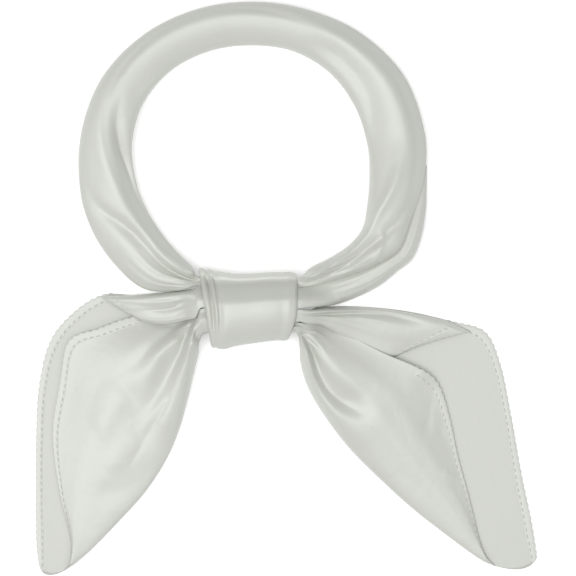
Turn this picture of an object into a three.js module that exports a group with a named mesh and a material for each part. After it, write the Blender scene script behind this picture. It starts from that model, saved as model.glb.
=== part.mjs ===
// A square satin neckerchief, folded to a triangle, rolled to a band and tied in a loop.
// It lies flat on a table: X runs to the right, Y away and Z up. All sizes are in millimetres.
import * as THREE from "three";

// Cloth
const CLOTH = 1.2;
const PLY_GAP = 0.35;
const HEM_WIDTH = 4.4;
const HEM_WALL = 1;

// Rolled band round the neck
const NECK_RADIUS = 59;
const BAND_WIDTH = 27;
const BAND_HEIGHT = 13.5;
const UNDER_FOLD_HEIGHT = 9;

// Knot: the cloth wraps round the X axis, so both ends are open
const KNOT_LENGTH = 46;
const KNOT_DEPTH = 37;
const KNOT_HEIGHT = 22;
const KNOT_WALL = 1.4;
const KNOT_SLACK = 0.65;

// Tails, measured from the knot's mouths
const LEFT_REACH = 84.3;
const LEFT_DROP = 132.3;
const RIGHT_REACH = 120.5;
const RIGHT_DROP = 129.8;
const TAIL_LOFT = 14;

// How far the loop's centre stands above the knot's far edge, as a share of the neck radius
const STAND_OFF_SHARE = 0.907;

// Fineness of the meshes
const BAND_STEPS = 50;
const BAND_TOP_SIDES = 17;
const BAND_BASE_SIDES = 7;
const KNOT_STEPS = 16;
const KNOT_SIDES = 28;
const TAIL_STEPS = 24;
const FRONT_SIDES = 11;
const BACK_SIDES = 5;
const FLAP_STEPS = 10;
const FLAP_SIDES = 8;
const HEM_STEPS = 20;
const UNDER_STEPS = 14;
const UNDER_SIDES = 6;

const SATIN = { color: 0xcfd2cc, roughness: 0.38, metalness: 0 };
const HEM_SATIN = { color: 0xc4c7c0, roughness: 0.5, metalness: 0 };

const { clamp, lerp, smoothstep, degToRad } = THREE.MathUtils;

// The knot's section along its length: the far and near edges as shares of its depth
const knotSections = [
  { at: 0.0, far: 0.54, near: 0.44, height: 0.86 },
  { at: 0.07, far: 0.53, near: 0.475, height: 0.93 },
  { at: 0.17, far: 0.5, near: 0.53, height: 0.98 },
  { at: 0.33, far: 0.48, near: 0.49, height: 1.0 },
  { at: 0.5, far: 0.485, near: 0.46, height: 1.0 },
  { at: 0.7, far: 0.5, near: 0.425, height: 1.0 },
  { at: 0.9, far: 0.505, near: 0.41, height: 0.97 },
  { at: 1.0, far: 0.49, near: 0.385, height: 0.92 },
];
const KNOT_TOP_ROUND = 2.5;
const KNOT_BASE_ROUND = 4;
const KNOT_BASE_FACTOR = 1.05;
const KNOT_LEAN_SHARE = 0.065;
const KNOT_CORNER_SHARE = 0.087;
const KNOT_CROWDING = 1.6;

// Rolled edges on the knot's left side: their places along it, widths as shares and heights in walls
const knotRolls = [
  { at: 0.035, width: 0.028, lift: 0.6 },
  { at: 0.125, width: 0.024, lift: 0.45 },
];

// Where the bundles of cloth share the room inside the knot, from its far edge (0) to its near edge (1)
const LEFT_SHARES = { band: [0.04, 0.195], flap: [0.195, 0.53], tail: [0.53, 0.93] };
const RIGHT_SHARES = { band: [0.02, 0.19], under: [0.19, 0.56], flap: [0.56, 0.79], tail: [0.79, 0.98] };
const THROAT_DEPTH_SHARE = 0.36;
const THROAT_EDGE_SHARE = 0.985;
const MOUTH_MARGIN = 0.6;

// The band's turns deep inside the knot and at its mouths, and the last turn where it lies free
const LEFT_TURNS = { deep: 4, mouth: 20, free: 34 };
const RIGHT_TURNS = { free: 326, mouth: 338, deep: 356 };

// The rolled band at each turn, in degrees clockwise from straight down.
// inner is a share of the neck radius, width of the band's width, rise of its height.
const bandSections = [
  { at: 30, inner: 0.99, width: 0.52, rise: 0.98, edge: 0.42 },
  { at: 40, inner: 0.962, width: 0.9, rise: 0.96, edge: 0.4 },
  { at: 50, inner: 0.951, width: 1.02, rise: 0.93, edge: 0.36 },
  { at: 65, inner: 0.955, width: 1.08, rise: 0.92, edge: 0.34 },
  { at: 80, inner: 0.978, width: 1.055, rise: 0.95, edge: 0.34 },
  { at: 100, inner: 1.02, width: 0.965, rise: 0.98, edge: 0.34 },
  { at: 120, inner: 1.05, width: 0.9, rise: 1.0, edge: 0.34 },
  { at: 140, inner: 1.048, width: 0.838, rise: 0.98, edge: 0.34 },
  { at: 160, inner: 1.026, width: 0.815, rise: 0.95, edge: 0.34 },
  { at: 180, inner: 1.013, width: 0.81, rise: 0.93, edge: 0.34 },
  { at: 200, inner: 1.027, width: 0.82, rise: 0.95, edge: 0.34 },
  { at: 220, inner: 1.027, width: 0.933, rise: 0.98, edge: 0.36 },
  { at: 240, inner: 1.01, width: 1.074, rise: 1.0, edge: 0.4 },
  { at: 260, inner: 1.001, width: 1.084, rise: 1.0, edge: 0.4 },
  { at: 275, inner: 1.007, width: 1.01, rise: 0.98, edge: 0.38 },
  { at: 290, inner: 1.044, width: 0.874, rise: 0.96, edge: 0.36 },
  { at: 300, inner: 1.084, width: 0.8, rise: 0.96, edge: 0.36 },
  { at: 310, inner: 1.066, width: 0.61, rise: 0.98, edge: 0.38 },
  { at: 320, inner: 1.027, width: 0.465, rise: 1.0, edge: 0.4 },
  { at: 330, inner: 1.002, width: 0.358, rise: 1.04, edge: 0.42 },
];
const FREE_ROUND = 2.3;
const THROAT_ROUND = 5;

// Long folds of the band: a path through three places across it, from its inner edge to its outer.
const bandFolds = [
  { start: 138, finish: 92, from: 0.26, middle: 0.36, to: 0.2, width: 0.06, lift: -0.42 },
  { start: 104, finish: 30, from: 0.27, middle: 0.1, to: 0.07, width: 0.06, lift: -0.42 },
  { start: 150, finish: 34, from: 0.5, middle: 0.36, to: 0.15, width: 0.1, lift: 0.16 },
  { start: 130, finish: 30, from: 0.8, middle: 0.64, to: 0.34, width: 0.09, lift: -0.26 },
  { start: 72, finish: 28, from: 0.9, middle: 0.7, to: 0.56, width: 0.09, lift: 0.16 },
  { start: 118, finish: 208, from: 0.76, middle: 0.81, to: 0.68, width: 0.06, lift: -0.26 },
  { start: 205, finish: 250, from: 0.4, middle: 0.35, to: 0.22, width: 0.12, lift: -0.22 },
  { start: 205, finish: 290, from: 0.66, middle: 0.62, to: 0.4, width: 0.12, lift: 0.14 },
  { start: 262, finish: 330, from: 0.5, middle: 0.22, to: 0.43, width: 0.09, lift: 0.18 },
  { start: 272, finish: 334, from: 0.56, middle: 0.33, to: 0.6, width: 0.08, lift: -0.36 },
];

// The layer that shows outside the band before the knot, by its width outside the band's edge
const underSections = [
  { at: 277, width: 0.06, rise: 0.3 },
  { at: 284, width: 0.15, rise: 0.5 },
  { at: 292, width: 0.24, rise: 0.72 },
  { at: 300, width: 0.27, rise: 0.86 },
  { at: 306, width: 0.29, rise: 0.9 },
  { at: 313, width: 0.38, rise: 0.92 },
  { at: 321, width: 0.43, rise: 0.98 },
  { at: 330, width: 0.43, rise: 1.1 },
];

// A tail's outline, in shares of its reach (out) and drop (down) from the knot's mouth:
// the folded edge, the front layer's hemmed edge and the back layer's.
// loft is the height of the crown and brim that of the front's hemmed edge.
const leftTail = [
  { at: 0.13, foldOut: 0.03, foldDown: 0.12, frontOut: 0.06, frontDown: 0.012,
    backOut: 0.12, backDown: -0.05, loft: 1.0, brim: 0.45, bow: 0 },
  { at: 0.18, foldOut: 0.036, foldDown: 0.161, frontOut: 0.107, frontDown: 0.017,
    backOut: 0.202, backDown: -0.062, loft: 0.95, brim: 0.28, bow: 0 },
  { at: 0.3, foldOut: 0.065, foldDown: 0.24, frontOut: 0.249, frontDown: 0.032,
    backOut: 0.41, backDown: -0.055, loft: 0.84, brim: 0.24, bow: 0 },
  { at: 0.42, foldOut: 0.101, foldDown: 0.338, frontOut: 0.43, frontDown: 0.03,
    backOut: 0.6, backDown: -0.055, loft: 0.74, brim: 0.24, bow: 0 },
  { at: 0.53, foldOut: 0.154, foldDown: 0.456, frontOut: 0.635, frontDown: 0.074,
    backOut: 0.772, backDown: 0.01, loft: 0.64, brim: 0.24, bow: 0 },
  { at: 0.64, foldOut: 0.231, foldDown: 0.569, frontOut: 0.807, frontDown: 0.123,
    backOut: 0.914, backDown: 0.12, loft: 0.54, brim: 0.23, bow: 0 },
  { at: 0.74, foldOut: 0.35, foldDown: 0.686, frontOut: 0.86, frontDown: 0.285,
    backOut: 0.98, backDown: 0.285, loft: 0.44, brim: 0.22, bow: 0 },
  { at: 0.83, foldOut: 0.504, foldDown: 0.796, frontOut: 0.902, frontDown: 0.474,
    backOut: 0.998, backDown: 0.474, loft: 0.36, brim: 0.22, bow: 0 },
  { at: 0.91, foldOut: 0.665, foldDown: 0.902, frontOut: 0.862, frontDown: 0.69,
    backOut: 1.0, backDown: 0.69, loft: 0.29, brim: 0.22, bow: 0 },
  { at: 0.97, foldOut: 0.765, foldDown: 0.958, frontOut: 0.8, frontDown: 0.86,
    backOut: 0.998, backDown: 0.87, loft: 0.24, brim: 0.22, bow: 0.005 },
  { at: 1.0, foldOut: 0.825, foldDown: 0.984, frontOut: 0.79, frontDown: 0.955,
    backOut: 0.985, backDown: 0.96, loft: 0.22, brim: 0.22, bow: 0.03 },
];
const rightTail = [
  { at: 0.12, foldOut: 0.01, foldDown: 0.14, frontOut: 0.04, frontDown: 0.055,
    backOut: 0.06, backDown: 0.0, loft: 1.05, brim: 0.6, bow: 0 },
  { at: 0.18, foldOut: 0.013, foldDown: 0.2, frontOut: 0.1, frontDown: 0.05,
    backOut: 0.12, backDown: -0.012, loft: 0.98, brim: 0.42, bow: 0 },
  { at: 0.3, foldOut: 0.046, foldDown: 0.302, frontOut: 0.209, frontDown: 0.095,
    backOut: 0.29, backDown: -0.01, loft: 0.85, brim: 0.44, bow: 0 },
  { at: 0.42, foldOut: 0.12, foldDown: 0.418, frontOut: 0.362, frontDown: 0.168,
    backOut: 0.477, backDown: 0.01, loft: 0.74, brim: 0.42, bow: 0 },
  { at: 0.52, foldOut: 0.22, foldDown: 0.538, frontOut: 0.51, frontDown: 0.228,
    backOut: 0.647, backDown: 0.048, loft: 0.66, brim: 0.34, bow: 0 },
  { at: 0.62, foldOut: 0.344, foldDown: 0.653, frontOut: 0.589, frontDown: 0.295,
    backOut: 0.78, backDown: 0.09, loft: 0.56, brim: 0.23, bow: 0 },
  { at: 0.71, foldOut: 0.477, foldDown: 0.765, frontOut: 0.635, frontDown: 0.426,
    backOut: 0.842, backDown: 0.214, loft: 0.46, brim: 0.22, bow: 0 },
  { at: 0.8, foldOut: 0.598, foldDown: 0.853, frontOut: 0.667, frontDown: 0.565,
    backOut: 0.888, backDown: 0.418, loft: 0.37, brim: 0.22, bow: 0 },
  { at: 0.88, foldOut: 0.693, foldDown: 0.919, frontOut: 0.71, frontDown: 0.712,
    backOut: 0.929, backDown: 0.634, loft: 0.3, brim: 0.22, bow: 0 },
  { at: 0.95, foldOut: 0.77, foldDown: 0.968, frontOut: 0.752, frontDown: 0.868,
    backOut: 0.971, backDown: 0.82, loft: 0.25, brim: 0.22, bow: 0.006 },
  { at: 1.0, foldOut: 0.815, foldDown: 0.986, frontOut: 0.778, frontDown: 0.958,
    backOut: 0.994, backDown: 0.955, loft: 0.22, brim: 0.22, bow: 0.028 },
];
const TAIL_MOUTH = 0.08;
const TAIL_FREE = 0.2;

// Where a tail's front layer and its flap are highest across, and where the flap starts to cover it
const FRONT_CROWN = 0.45;
const FLAP_CROWN = 0.3;
const COVER_FROM = 0.5;
const COVER_TO = 0.9;
const EDGE_CROWDING = 1.25;

// Where each sewn hem comes out from under the flap
const HEM_STARTS = { leftFront: 0.47, leftBack: 0.5, rightFront: 0.6, rightBack: 0.64 };
const HEM_WIDEST = 0.8;
const FLAP_HEM_MARGIN = 0.04;
const FLAP_END_STEP = 0.05;

// Folds that run out from the knot: places from the folded edge (0) to the hemmed edge (1).
const leftFolds = [
  { start: 0.06, finish: 0.62, from: 0.6, middle: 0.22, to: 0.12, width: 0.08, lift: 0.3 },
  { start: 0.08, finish: 0.92, from: 0.72, middle: 0.3, to: 0.5, width: 0.07, lift: -0.34 },
  { start: 0.16, finish: 0.72, from: 0.95, middle: 0.73, to: 0.62, width: 0.07, lift: -0.26 },
  { start: 0.14, finish: 0.6, from: 0.84, middle: 0.58, to: 0.48, width: 0.07, lift: 0.22 },
  { start: 0.4, finish: 0.88, from: 0.95, middle: 0.88, to: 0.8, width: 0.08, lift: 0.14 },
  { start: 0.5, finish: 0.96, from: 0.18, middle: 0.25, to: 0.36, width: 0.08, lift: 0.14 },
];
const rightFolds = [
  { start: 0.06, finish: 0.64, from: 0.2, middle: 0.16, to: 0.17, width: 0.08, lift: 0.3 },
  { start: 0.06, finish: 0.62, from: 0.6, middle: 0.31, to: 0.32, width: 0.07, lift: -0.4 },
  { start: 0.3, finish: 0.96, from: 0.6, middle: 0.52, to: 0.5, width: 0.16, lift: 0.14 },
  { start: 0.56, finish: 0.78, from: 0.9, middle: 0.8, to: 0.76, width: 0.1, lift: -0.2 },
];

// The rolled upper edge of each tail, turned over its front layer
const leftFlap = [
  { at: 0.13, edgeOut: 0.07, edgeDown: -0.078, lipOut: 0.055, lipDown: 0.03,
    crest: 1.02, lip: 0.9, bow: 0 },
  { at: 0.18, edgeOut: 0.137, edgeDown: -0.072, lipOut: 0.1, lipDown: 0.038,
    crest: 0.92, lip: 0.66, bow: 0 },
  { at: 0.3, edgeOut: 0.297, edgeDown: -0.062, lipOut: 0.231, lipDown: 0.055,
    crest: 0.82, lip: 0.48, bow: 0 },
  { at: 0.4, edgeOut: 0.445, edgeDown: -0.055, lipOut: 0.356, lipDown: 0.046,
    crest: 0.66, lip: 0.42, bow: 0 },
  { at: 0.46, edgeOut: 0.61, edgeDown: -0.05, lipOut: 0.44, lipDown: 0.021,
    crest: 0.46, lip: 0.42, bow: 0 },
];
const rightFlap = [
  { at: 0.12, edgeOut: 0.05, edgeDown: 0.0, lipOut: 0.035, lipDown: 0.049,
    crest: 1.05, lip: 0.95, bow: 0 },
  { at: 0.18, edgeOut: 0.137, edgeDown: -0.006, lipOut: 0.1, lipDown: 0.052,
    crest: 0.92, lip: 0.78, bow: 0 },
  { at: 0.3, edgeOut: 0.29, edgeDown: -0.008, lipOut: 0.215, lipDown: 0.088,
    crest: 0.8, lip: 0.4, bow: 0 },
  { at: 0.42, edgeOut: 0.477, edgeDown: 0.013, lipOut: 0.366, lipDown: 0.16,
    crest: 0.66, lip: 0.3, bow: 0 },
  { at: 0.51, edgeOut: 0.63, edgeDown: 0.046, lipOut: 0.475, lipDown: 0.205,
    crest: 0.5, lip: 0.28, bow: -0.02 },
  { at: 0.57, edgeOut: 0.718, edgeDown: 0.083, lipOut: 0.56, lipDown: 0.25,
    crest: 0.36, lip: 0.26, bow: -0.09 },
];
const leftFlapFolds = [
  { start: 0.06, finish: 0.46, from: 0.45, middle: 0.6, to: 0.62, width: 0.12, lift: -0.3 },
];
const rightFlapFolds = [
  { start: 0.06, finish: 0.57, from: 0.42, middle: 0.22, to: 0.4, width: 0.1, lift: -0.26 },
  { start: 0.3, finish: 0.57, from: 0.8, middle: 0.75, to: 0.72, width: 0.14, lift: -0.2 },
];

// The value of a column at a place, on a smooth curve through the table's rows
function along(rows, at, column) {
  const last = rows.length - 1;
  let i = 0;
  while (i < last - 1 && at > rows[i + 1].at) i += 1;
  const slope = (k) => {
    const before = rows[Math.max(k - 1, 0)];
    const after = rows[Math.min(k + 1, last)];
    return (after[column] - before[column]) / (after.at - before.at);
  };
  const span = rows[i + 1].at - rows[i].at;
  const t = clamp((at - rows[i].at) / span, 0, 1);
  const start = rows[i][column];
  const end = rows[i + 1][column];
  const swing = (slope(i) * (1 - t) - slope(i + 1) * t) * span;
  return lerp(start, end, t * t * (3 - 2 * t)) + swing * t * (1 - t);
}

// The height that a set of folds adds at a place, as a share
function foldLift(folds, at, across) {
  let lift = 0;
  for (const fold of folds) {
    const t = (at - fold.start) / (fold.finish - fold.start);
    if (t <= 0 || t >= 1) continue;
    const crest =
      fold.from * (1 - t) * (1 - 2 * t) + fold.middle * 4 * t * (1 - t) + fold.to * t * (2 * t - 1);
    const fade = smoothstep(t, 0, 0.2) * (1 - smoothstep(t, 0.75, 1));
    lift += fold.lift * fade * Math.exp(-(((across - crest) / fold.width) ** 2));
  }
  return lift;
}

// A wall of cloth between two surfaces that are given as functions of two shares
function clothWall(steps, sides, outside, inside, ring = false) {
  const positions = [];
  for (const surface of [outside, inside]) {
    for (let i = 0; i <= steps; i += 1) {
      for (let j = 0; j <= sides; j += 1) {
        positions.push(...surface(i / steps, (ring && j === sides ? 0 : j) / sides));
      }
    }
  }
  const inner = (steps + 1) * (sides + 1);
  const at = (i, j, side) => side * inner + i * (sides + 1) + (ring ? j % sides : j);
  const faces = [];
  const quad = (a, b, c, d) => faces.push(a, b, c, a, c, d);
  for (let i = 0; i < steps; i += 1) {
    for (let j = 0; j < sides; j += 1) {
      quad(at(i, j, 0), at(i + 1, j, 0), at(i + 1, j + 1, 0), at(i, j + 1, 0));
      quad(at(i, j, 1), at(i, j + 1, 1), at(i + 1, j + 1, 1), at(i + 1, j, 1));
    }
  }
  for (let j = 0; j < sides; j += 1) {
    quad(at(0, j, 0), at(0, j + 1, 0), at(0, j + 1, 1), at(0, j, 1));
    quad(at(steps, j, 0), at(steps, j, 1), at(steps, j + 1, 1), at(steps, j + 1, 0));
  }
  for (let i = 0; i < steps && !ring; i += 1) {
    quad(at(i, 0, 0), at(i, 0, 1), at(i + 1, 0, 1), at(i + 1, 0, 0));
    quad(at(i, sides, 0), at(i + 1, sides, 0), at(i + 1, sides, 1), at(i, sides, 1));
  }
  return facingOut(positions, faces);
}

// A place on a closed section: over its top from its inner edge to its outer, then back along its base
function sectionPlace(turn) {
  const topShare = BAND_TOP_SIDES / (BAND_TOP_SIDES + BAND_BASE_SIDES);
  const onTop = turn <= topShare;
  const walk = onTop ? turn / topShare : (1 - turn) / (1 - topShare);
  const eased = (1 - Math.cos(Math.PI * walk)) / 2;
  return { onTop, place: (walk + eased) / 2 };
}

// How full a rounded section is at a place across it, from 0 at its edges to 1 in its middle
function fullness(place, round) {
  return Math.max(1 - Math.abs(2 * place - 1) ** round, 0) ** (1 / round);
}

// The mesh with its faces turned so that its volume is positive
function facingOut(positions, faces) {
  const corner = (k) => new THREE.Vector3().fromArray(positions, 3 * faces[k]);
  let volume = 0;
  for (let k = 0; k < faces.length; k += 3) {
    volume += corner(k).dot(corner(k + 1).cross(corner(k + 2)));
  }
  if (volume < 0) faces.reverse();
  const geometry = new THREE.BufferGeometry();
  geometry.setAttribute("position", new THREE.Float32BufferAttribute(positions, 3));
  geometry.setIndex(faces);
  geometry.computeVertexNormals();
  return geometry;
}

// The knot's section at a place along X
function knotSection(x) {
  const at = clamp(x / KNOT_LENGTH + 0.5, 0, 1);
  const far = along(knotSections, at, "far") * KNOT_DEPTH;
  const near = along(knotSections, at, "near") * KNOT_DEPTH;
  const height = along(knotSections, at, "height") * KNOT_HEIGHT;
  return { middle: (far - near) / 2, half: (far + near) / 2, height };
}

// The X of the knot's mouth at a place in its depth: the left one leans, the right one is rounded
function knotMouth(side, y) {
  const share = clamp(y / (KNOT_DEPTH / 2), -1, 1);
  if (side < 0) return -KNOT_LENGTH * (0.5 + KNOT_LEAN_SHARE * share);
  const corner = share < 0 ? KNOT_CORNER_SHARE * share * share : 0;
  return KNOT_LENGTH * (0.5 - corner);
}

// The room that the wrap leaves for the cloth that passes through it
function throat(x, y) {
  const section = knotSection(x);
  const lining = KNOT_WALL + KNOT_SLACK;
  const half = section.height / 2;
  const reach = Math.min(Math.abs(y - section.middle) / (section.half - lining), THROAT_EDGE_SHARE);
  const dome = (round) => (half - lining) * (1 - reach ** round) ** (1 / round);
  return { roof: half + dome(KNOT_TOP_ROUND), floor: half - dome(KNOT_BASE_ROUND) };
}

function knotWrap() {
  const skin = (inset) => (share, turn) => {
    const angle = 2 * Math.PI * turn;
    const round = Math.sin(angle) < 0 ? KNOT_BASE_ROUND : KNOT_TOP_ROUND;
    const power = 2 / round;
    const across = Math.sign(Math.cos(angle)) * Math.abs(Math.cos(angle)) ** power;
    const up = Math.sign(Math.sin(angle)) * Math.abs(Math.sin(angle)) ** power;
    const place = share ** KNOT_CROWDING;
    const leftEnd = knotMouth(-1, (across * KNOT_DEPTH) / 2);
    const rightEnd = knotMouth(1, (across * KNOT_DEPTH) / 2);
    const x = lerp(leftEnd, rightEnd, place);
    const section = knotSection(x);
    let roll = 0;
    for (const row of knotRolls) {
      roll += row.lift * Math.exp(-(((place - row.at) / row.width) ** 2));
    }
    const outward = inset > 0 ? -inset : roll * KNOT_WALL;
    const half = section.height / 2;
    const y = section.middle + across * (section.half + outward);
    const press = up < 0 ? KNOT_BASE_FACTOR : 1;
    const z = half + up * press * (half + (up > 0 ? outward : -inset));
    return [x, y, Math.max(z, inset)];
  };
  return clothWall(KNOT_STEPS, KNOT_SIDES, skin(0), skin(KNOT_WALL), true);
}

// A point of the loop, by its turn and its distance from the loop's centre
const LOOP_Y = KNOT_DEPTH / 2 + STAND_OFF_SHARE * NECK_RADIUS;
function loopPoint(turn, radius) {
  const angle = degToRad(turn);
  return { x: -Math.sin(angle) * radius, y: LOOP_Y - Math.cos(angle) * radius };
}

// A station inside the knot: the bundle's share of the room at a place inward from the mouth
function throatStation(at, side, shares, inward) {
  const depth = side * (0.5 - inward) * KNOT_LENGTH;
  const section = knotSection(depth);
  const room = section.half - KNOT_WALL - KNOT_SLACK;
  const far = section.middle + (1 - 2 * shares[0]) * room - PLY_GAP;
  const near = section.middle + (1 - 2 * shares[1]) * room + PLY_GAP;
  const place = (y) => knotMouth(side, y) + side * (MOUTH_MARGIN - inward * KNOT_LENGTH);
  return { at, innerX: place(far), innerY: far, outerX: place(near), outerY: near };
}

// The band's stations from deep in the knot's left mouth, round the neck and into the right one
function bandStations() {
  const freeStation = (row) => {
    const inner = row.inner * NECK_RADIUS;
    const a = loopPoint(row.at, inner);
    const b = loopPoint(row.at, inner + row.width * BAND_WIDTH);
    return { at: row.at, innerX: a.x, innerY: a.y, outerX: b.x, outerY: b.y };
  };
  return [
    throatStation(LEFT_TURNS.deep, -1, LEFT_SHARES.band, THROAT_DEPTH_SHARE),
    throatStation(LEFT_TURNS.mouth, -1, LEFT_SHARES.band, 0),
    ...bandSections.map(freeStation),
    throatStation(RIGHT_TURNS.mouth, 1, RIGHT_SHARES.band, 0),
    throatStation(RIGHT_TURNS.deep, 1, RIGHT_SHARES.band, THROAT_DEPTH_SHARE),
  ];
}

function neckBand() {
  const stations = bandStations();
  const freeFrom = bandSections[0].at;
  const freeTo = bandSections[bandSections.length - 1].at;
  const sectionAt = (at) => {
    const row = (column) => along(bandSections, clamp(at, freeFrom, freeTo), column);
    const held = Math.max(
      1 - smoothstep(at, LEFT_TURNS.mouth, LEFT_TURNS.free),
      smoothstep(at, RIGHT_TURNS.free, RIGHT_TURNS.mouth),
    );
    return { height: row("rise") * BAND_HEIGHT, edge: row("edge"), held };
  };
  const skin = (inset) => (share, turn) => {
    const at = lerp(LEFT_TURNS.deep, RIGHT_TURNS.deep, share);
    const { height, edge, held } = sectionAt(at);
    const { onTop, place } = sectionPlace(turn);
    const full = fullness(place, lerp(FREE_ROUND, THROAT_ROUND, held));
    const column = (name) => along(stations, at, name);
    const [ax, ay, bx, by] = ["innerX", "innerY", "outerX", "outerY"].map(column);
    const width = Math.hypot(bx - ax, by - ay);
    const across = 0.5 + (place - 0.5) * (1 - (2 * inset) / width);
    const x = lerp(ax, bx, across);
    const y = lerp(ay, by, across);
    const room = throat(x, y);
    const freeTop = height * (1 + foldLift(bandFolds, at, across));
    const top = lerp(freeTop, room.roof, held) - inset;
    const base = lerp(0, room.floor, held) + inset;
    const middle = lerp(edge * height, (room.roof + room.floor) / 2, held);
    return [x, y, lerp(middle, onTop ? top : base, full)];
  };
  return clothWall(BAND_STEPS, BAND_TOP_SIDES + BAND_BASE_SIDES, skin(0), skin(CLOTH), true);
}

function bandUnderFold() {
  const rows = underSections.map((row) => {
    const inner = along(bandSections, row.at, "inner") * NECK_RADIUS;
    const edge = inner + along(bandSections, row.at, "width") * BAND_WIDTH;
    const a = loopPoint(row.at, edge + PLY_GAP);
    const b = loopPoint(row.at, edge + PLY_GAP + row.width * BAND_WIDTH);
    const points = { innerX: a.x, innerY: a.y, outerX: b.x, outerY: b.y };
    return { at: row.at, ...points, rise: row.rise };
  });
  const { rise } = rows[rows.length - 1];
  const station = (at, inward) => ({ ...throatStation(at, 1, RIGHT_SHARES.under, inward), rise });
  rows.push(station(RIGHT_TURNS.mouth, 0), station(RIGHT_TURNS.deep, THROAT_DEPTH_SHARE));
  const skin = (drop) => (share, across) => {
    const at = lerp(rows[0].at, RIGHT_TURNS.deep, share);
    const held = smoothstep(at, RIGHT_TURNS.free, RIGHT_TURNS.mouth);
    const x = lerp(along(rows, at, "innerX"), along(rows, at, "outerX"), across);
    const y = lerp(along(rows, at, "innerY"), along(rows, at, "outerY"), across);
    const arch = fullness(across, FREE_ROUND);
    const free = CLOTH + (along(rows, at, "rise") * UNDER_FOLD_HEIGHT - CLOTH) * arch;
    return [x, y, lerp(free, throat(x, y).roof, held) - drop];
  };
  return clothWall(UNDER_STEPS, UNDER_SIDES, skin(0), skin(CLOTH));
}

// A tail: its table of rows as points, with the bundle's place in the knot ahead of them
function tailSpec(side, reach, drop, rows, shares, folds) {
  const outX = (share) => side * (KNOT_LENGTH / 2 + share * reach);
  const held = (at, inward) => {
    const s = throatStation(at, side, shares, inward);
    return { at, foldX: s.outerX, foldY: s.outerY, frontX: s.innerX, frontY: s.innerY,
      backX: s.innerX, backY: s.innerY, loft: 1, brim: 0.8, bow: 0 };
  };
  const free = rows.map((row) => ({
    ...row,
    foldX: outX(row.foldOut), foldY: -row.foldDown * drop,
    frontX: outX(row.frontOut), frontY: -row.frontDown * drop,
    backX: outX(row.backOut), backY: -row.backDown * drop,
  }));
  const stations = [held(0, THROAT_DEPTH_SHARE), held(TAIL_MOUTH, 0), ...free];
  return { side, reach, drop, stations, folds };
}

// The place of a layer of a tail: from its folded edge (0) to its hemmed edge (1)
function tailPlace(tail, layer, at, across) {
  const row = (column) => along(tail.stations, at, column);
  const bow = layer === "back" ? row("bow") * 4 * across * (1 - across) : 0;
  return {
    x: lerp(row("foldX"), row(`${layer}X`), across) + tail.side * bow * tail.reach,
    y: lerp(row("foldY"), row(`${layer}Y`), across) - bow * tail.drop,
  };
}

const LAYERS_HIGH = 2 * CLOTH + PLY_GAP;
const heldShare = (at) => 1 - smoothstep(at, TAIL_MOUTH, TAIL_FREE);

// The height of a tail's front layer at a place
function frontTop(tail, at, across) {
  const { x, y } = tailPlace(tail, "front", at, across);
  const room = throat(x, y);
  const row = (column) => along(tail.stations, at, column) * TAIL_LOFT;
  const crown = row("loft") * (1 + foldLift(tail.folds, at, across));
  const foldSide = Math.min(across / FRONT_CROWN, 1);
  const hemSide = smoothstep(across, FRONT_CROWN, 1);
  const rise = (1 - (1 - foldSide) ** FREE_ROUND) ** (1 / FREE_ROUND);
  const free = Math.max(lerp(lerp(LAYERS_HIGH, crown, rise), row("brim"), hemSide), LAYERS_HIGH);
  const cover = (CLOTH + 2 * PLY_GAP) * smoothstep(across, COVER_FROM, COVER_TO);
  return lerp(free, room.roof - cover, heldShare(at));
}

// The height of a tail's back layer, which lies on the table
function backBase(tail, at, across) {
  const { x, y } = tailPlace(tail, "back", at, across);
  return lerp(0, throat(x, y).floor, heldShare(at));
}

// The two layers of a tail as one wall, turned over at the folded edge
function tailLayers(tail) {
  const turn = BACK_SIDES / (BACK_SIDES + FRONT_SIDES);
  const skin = (inset) => (share, around) => {
    const front = around >= turn;
    const raw = front ? (around - turn) / (1 - turn) : 1 - around / turn;
    const at = share;
    const edge = tailPlace(tail, "front", at, 0);
    const hem = tailPlace(tail, front ? "front" : "back", at, 1);
    const width = Math.hypot(hem.x - edge.x, hem.y - edge.y);
    const start = Math.min(inset / width, FLAP_CROWN);
    const across = start + (1 - start) * raw ** EDGE_CROWDING;
    const { x, y } = tailPlace(tail, front ? "front" : "back", at, across);
    const middle = (frontTop(tail, at, 0) + backBase(tail, at, 0)) / 2;
    const top = frontTop(tail, at, across) - inset;
    const base = backBase(tail, at, across) + inset;
    const bend = raw === 0 ? 0 : 1;
    return [x, y, lerp(middle, front ? top : base, bend)];
  };
  return clothWall(TAIL_STEPS, BACK_SIDES + FRONT_SIDES, skin(0), skin(CLOTH));
}

// A tail's flap as points, with its place in the knot ahead of them
function flapSpec(side, reach, drop, rows, shares, folds) {
  const outX = (share) => side * (KNOT_LENGTH / 2 + share * reach);
  const held = (at, inward) => {
    const s = throatStation(at, side, shares, inward);
    return { at, edgeX: s.innerX, edgeY: s.innerY, lipX: s.outerX, lipY: s.outerY,
      crest: 1, lip: 0.9, bow: 0 };
  };
  const free = rows.map((row) => ({
    ...row,
    edgeX: outX(row.edgeOut), edgeY: -row.edgeDown * drop,
    lipX: outX(row.lipOut), lipY: -row.lipDown * drop,
  }));
  return { side, reach, folds, stations: [held(0, THROAT_DEPTH_SHARE), held(TAIL_MOUTH, 0), ...free] };
}

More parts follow.
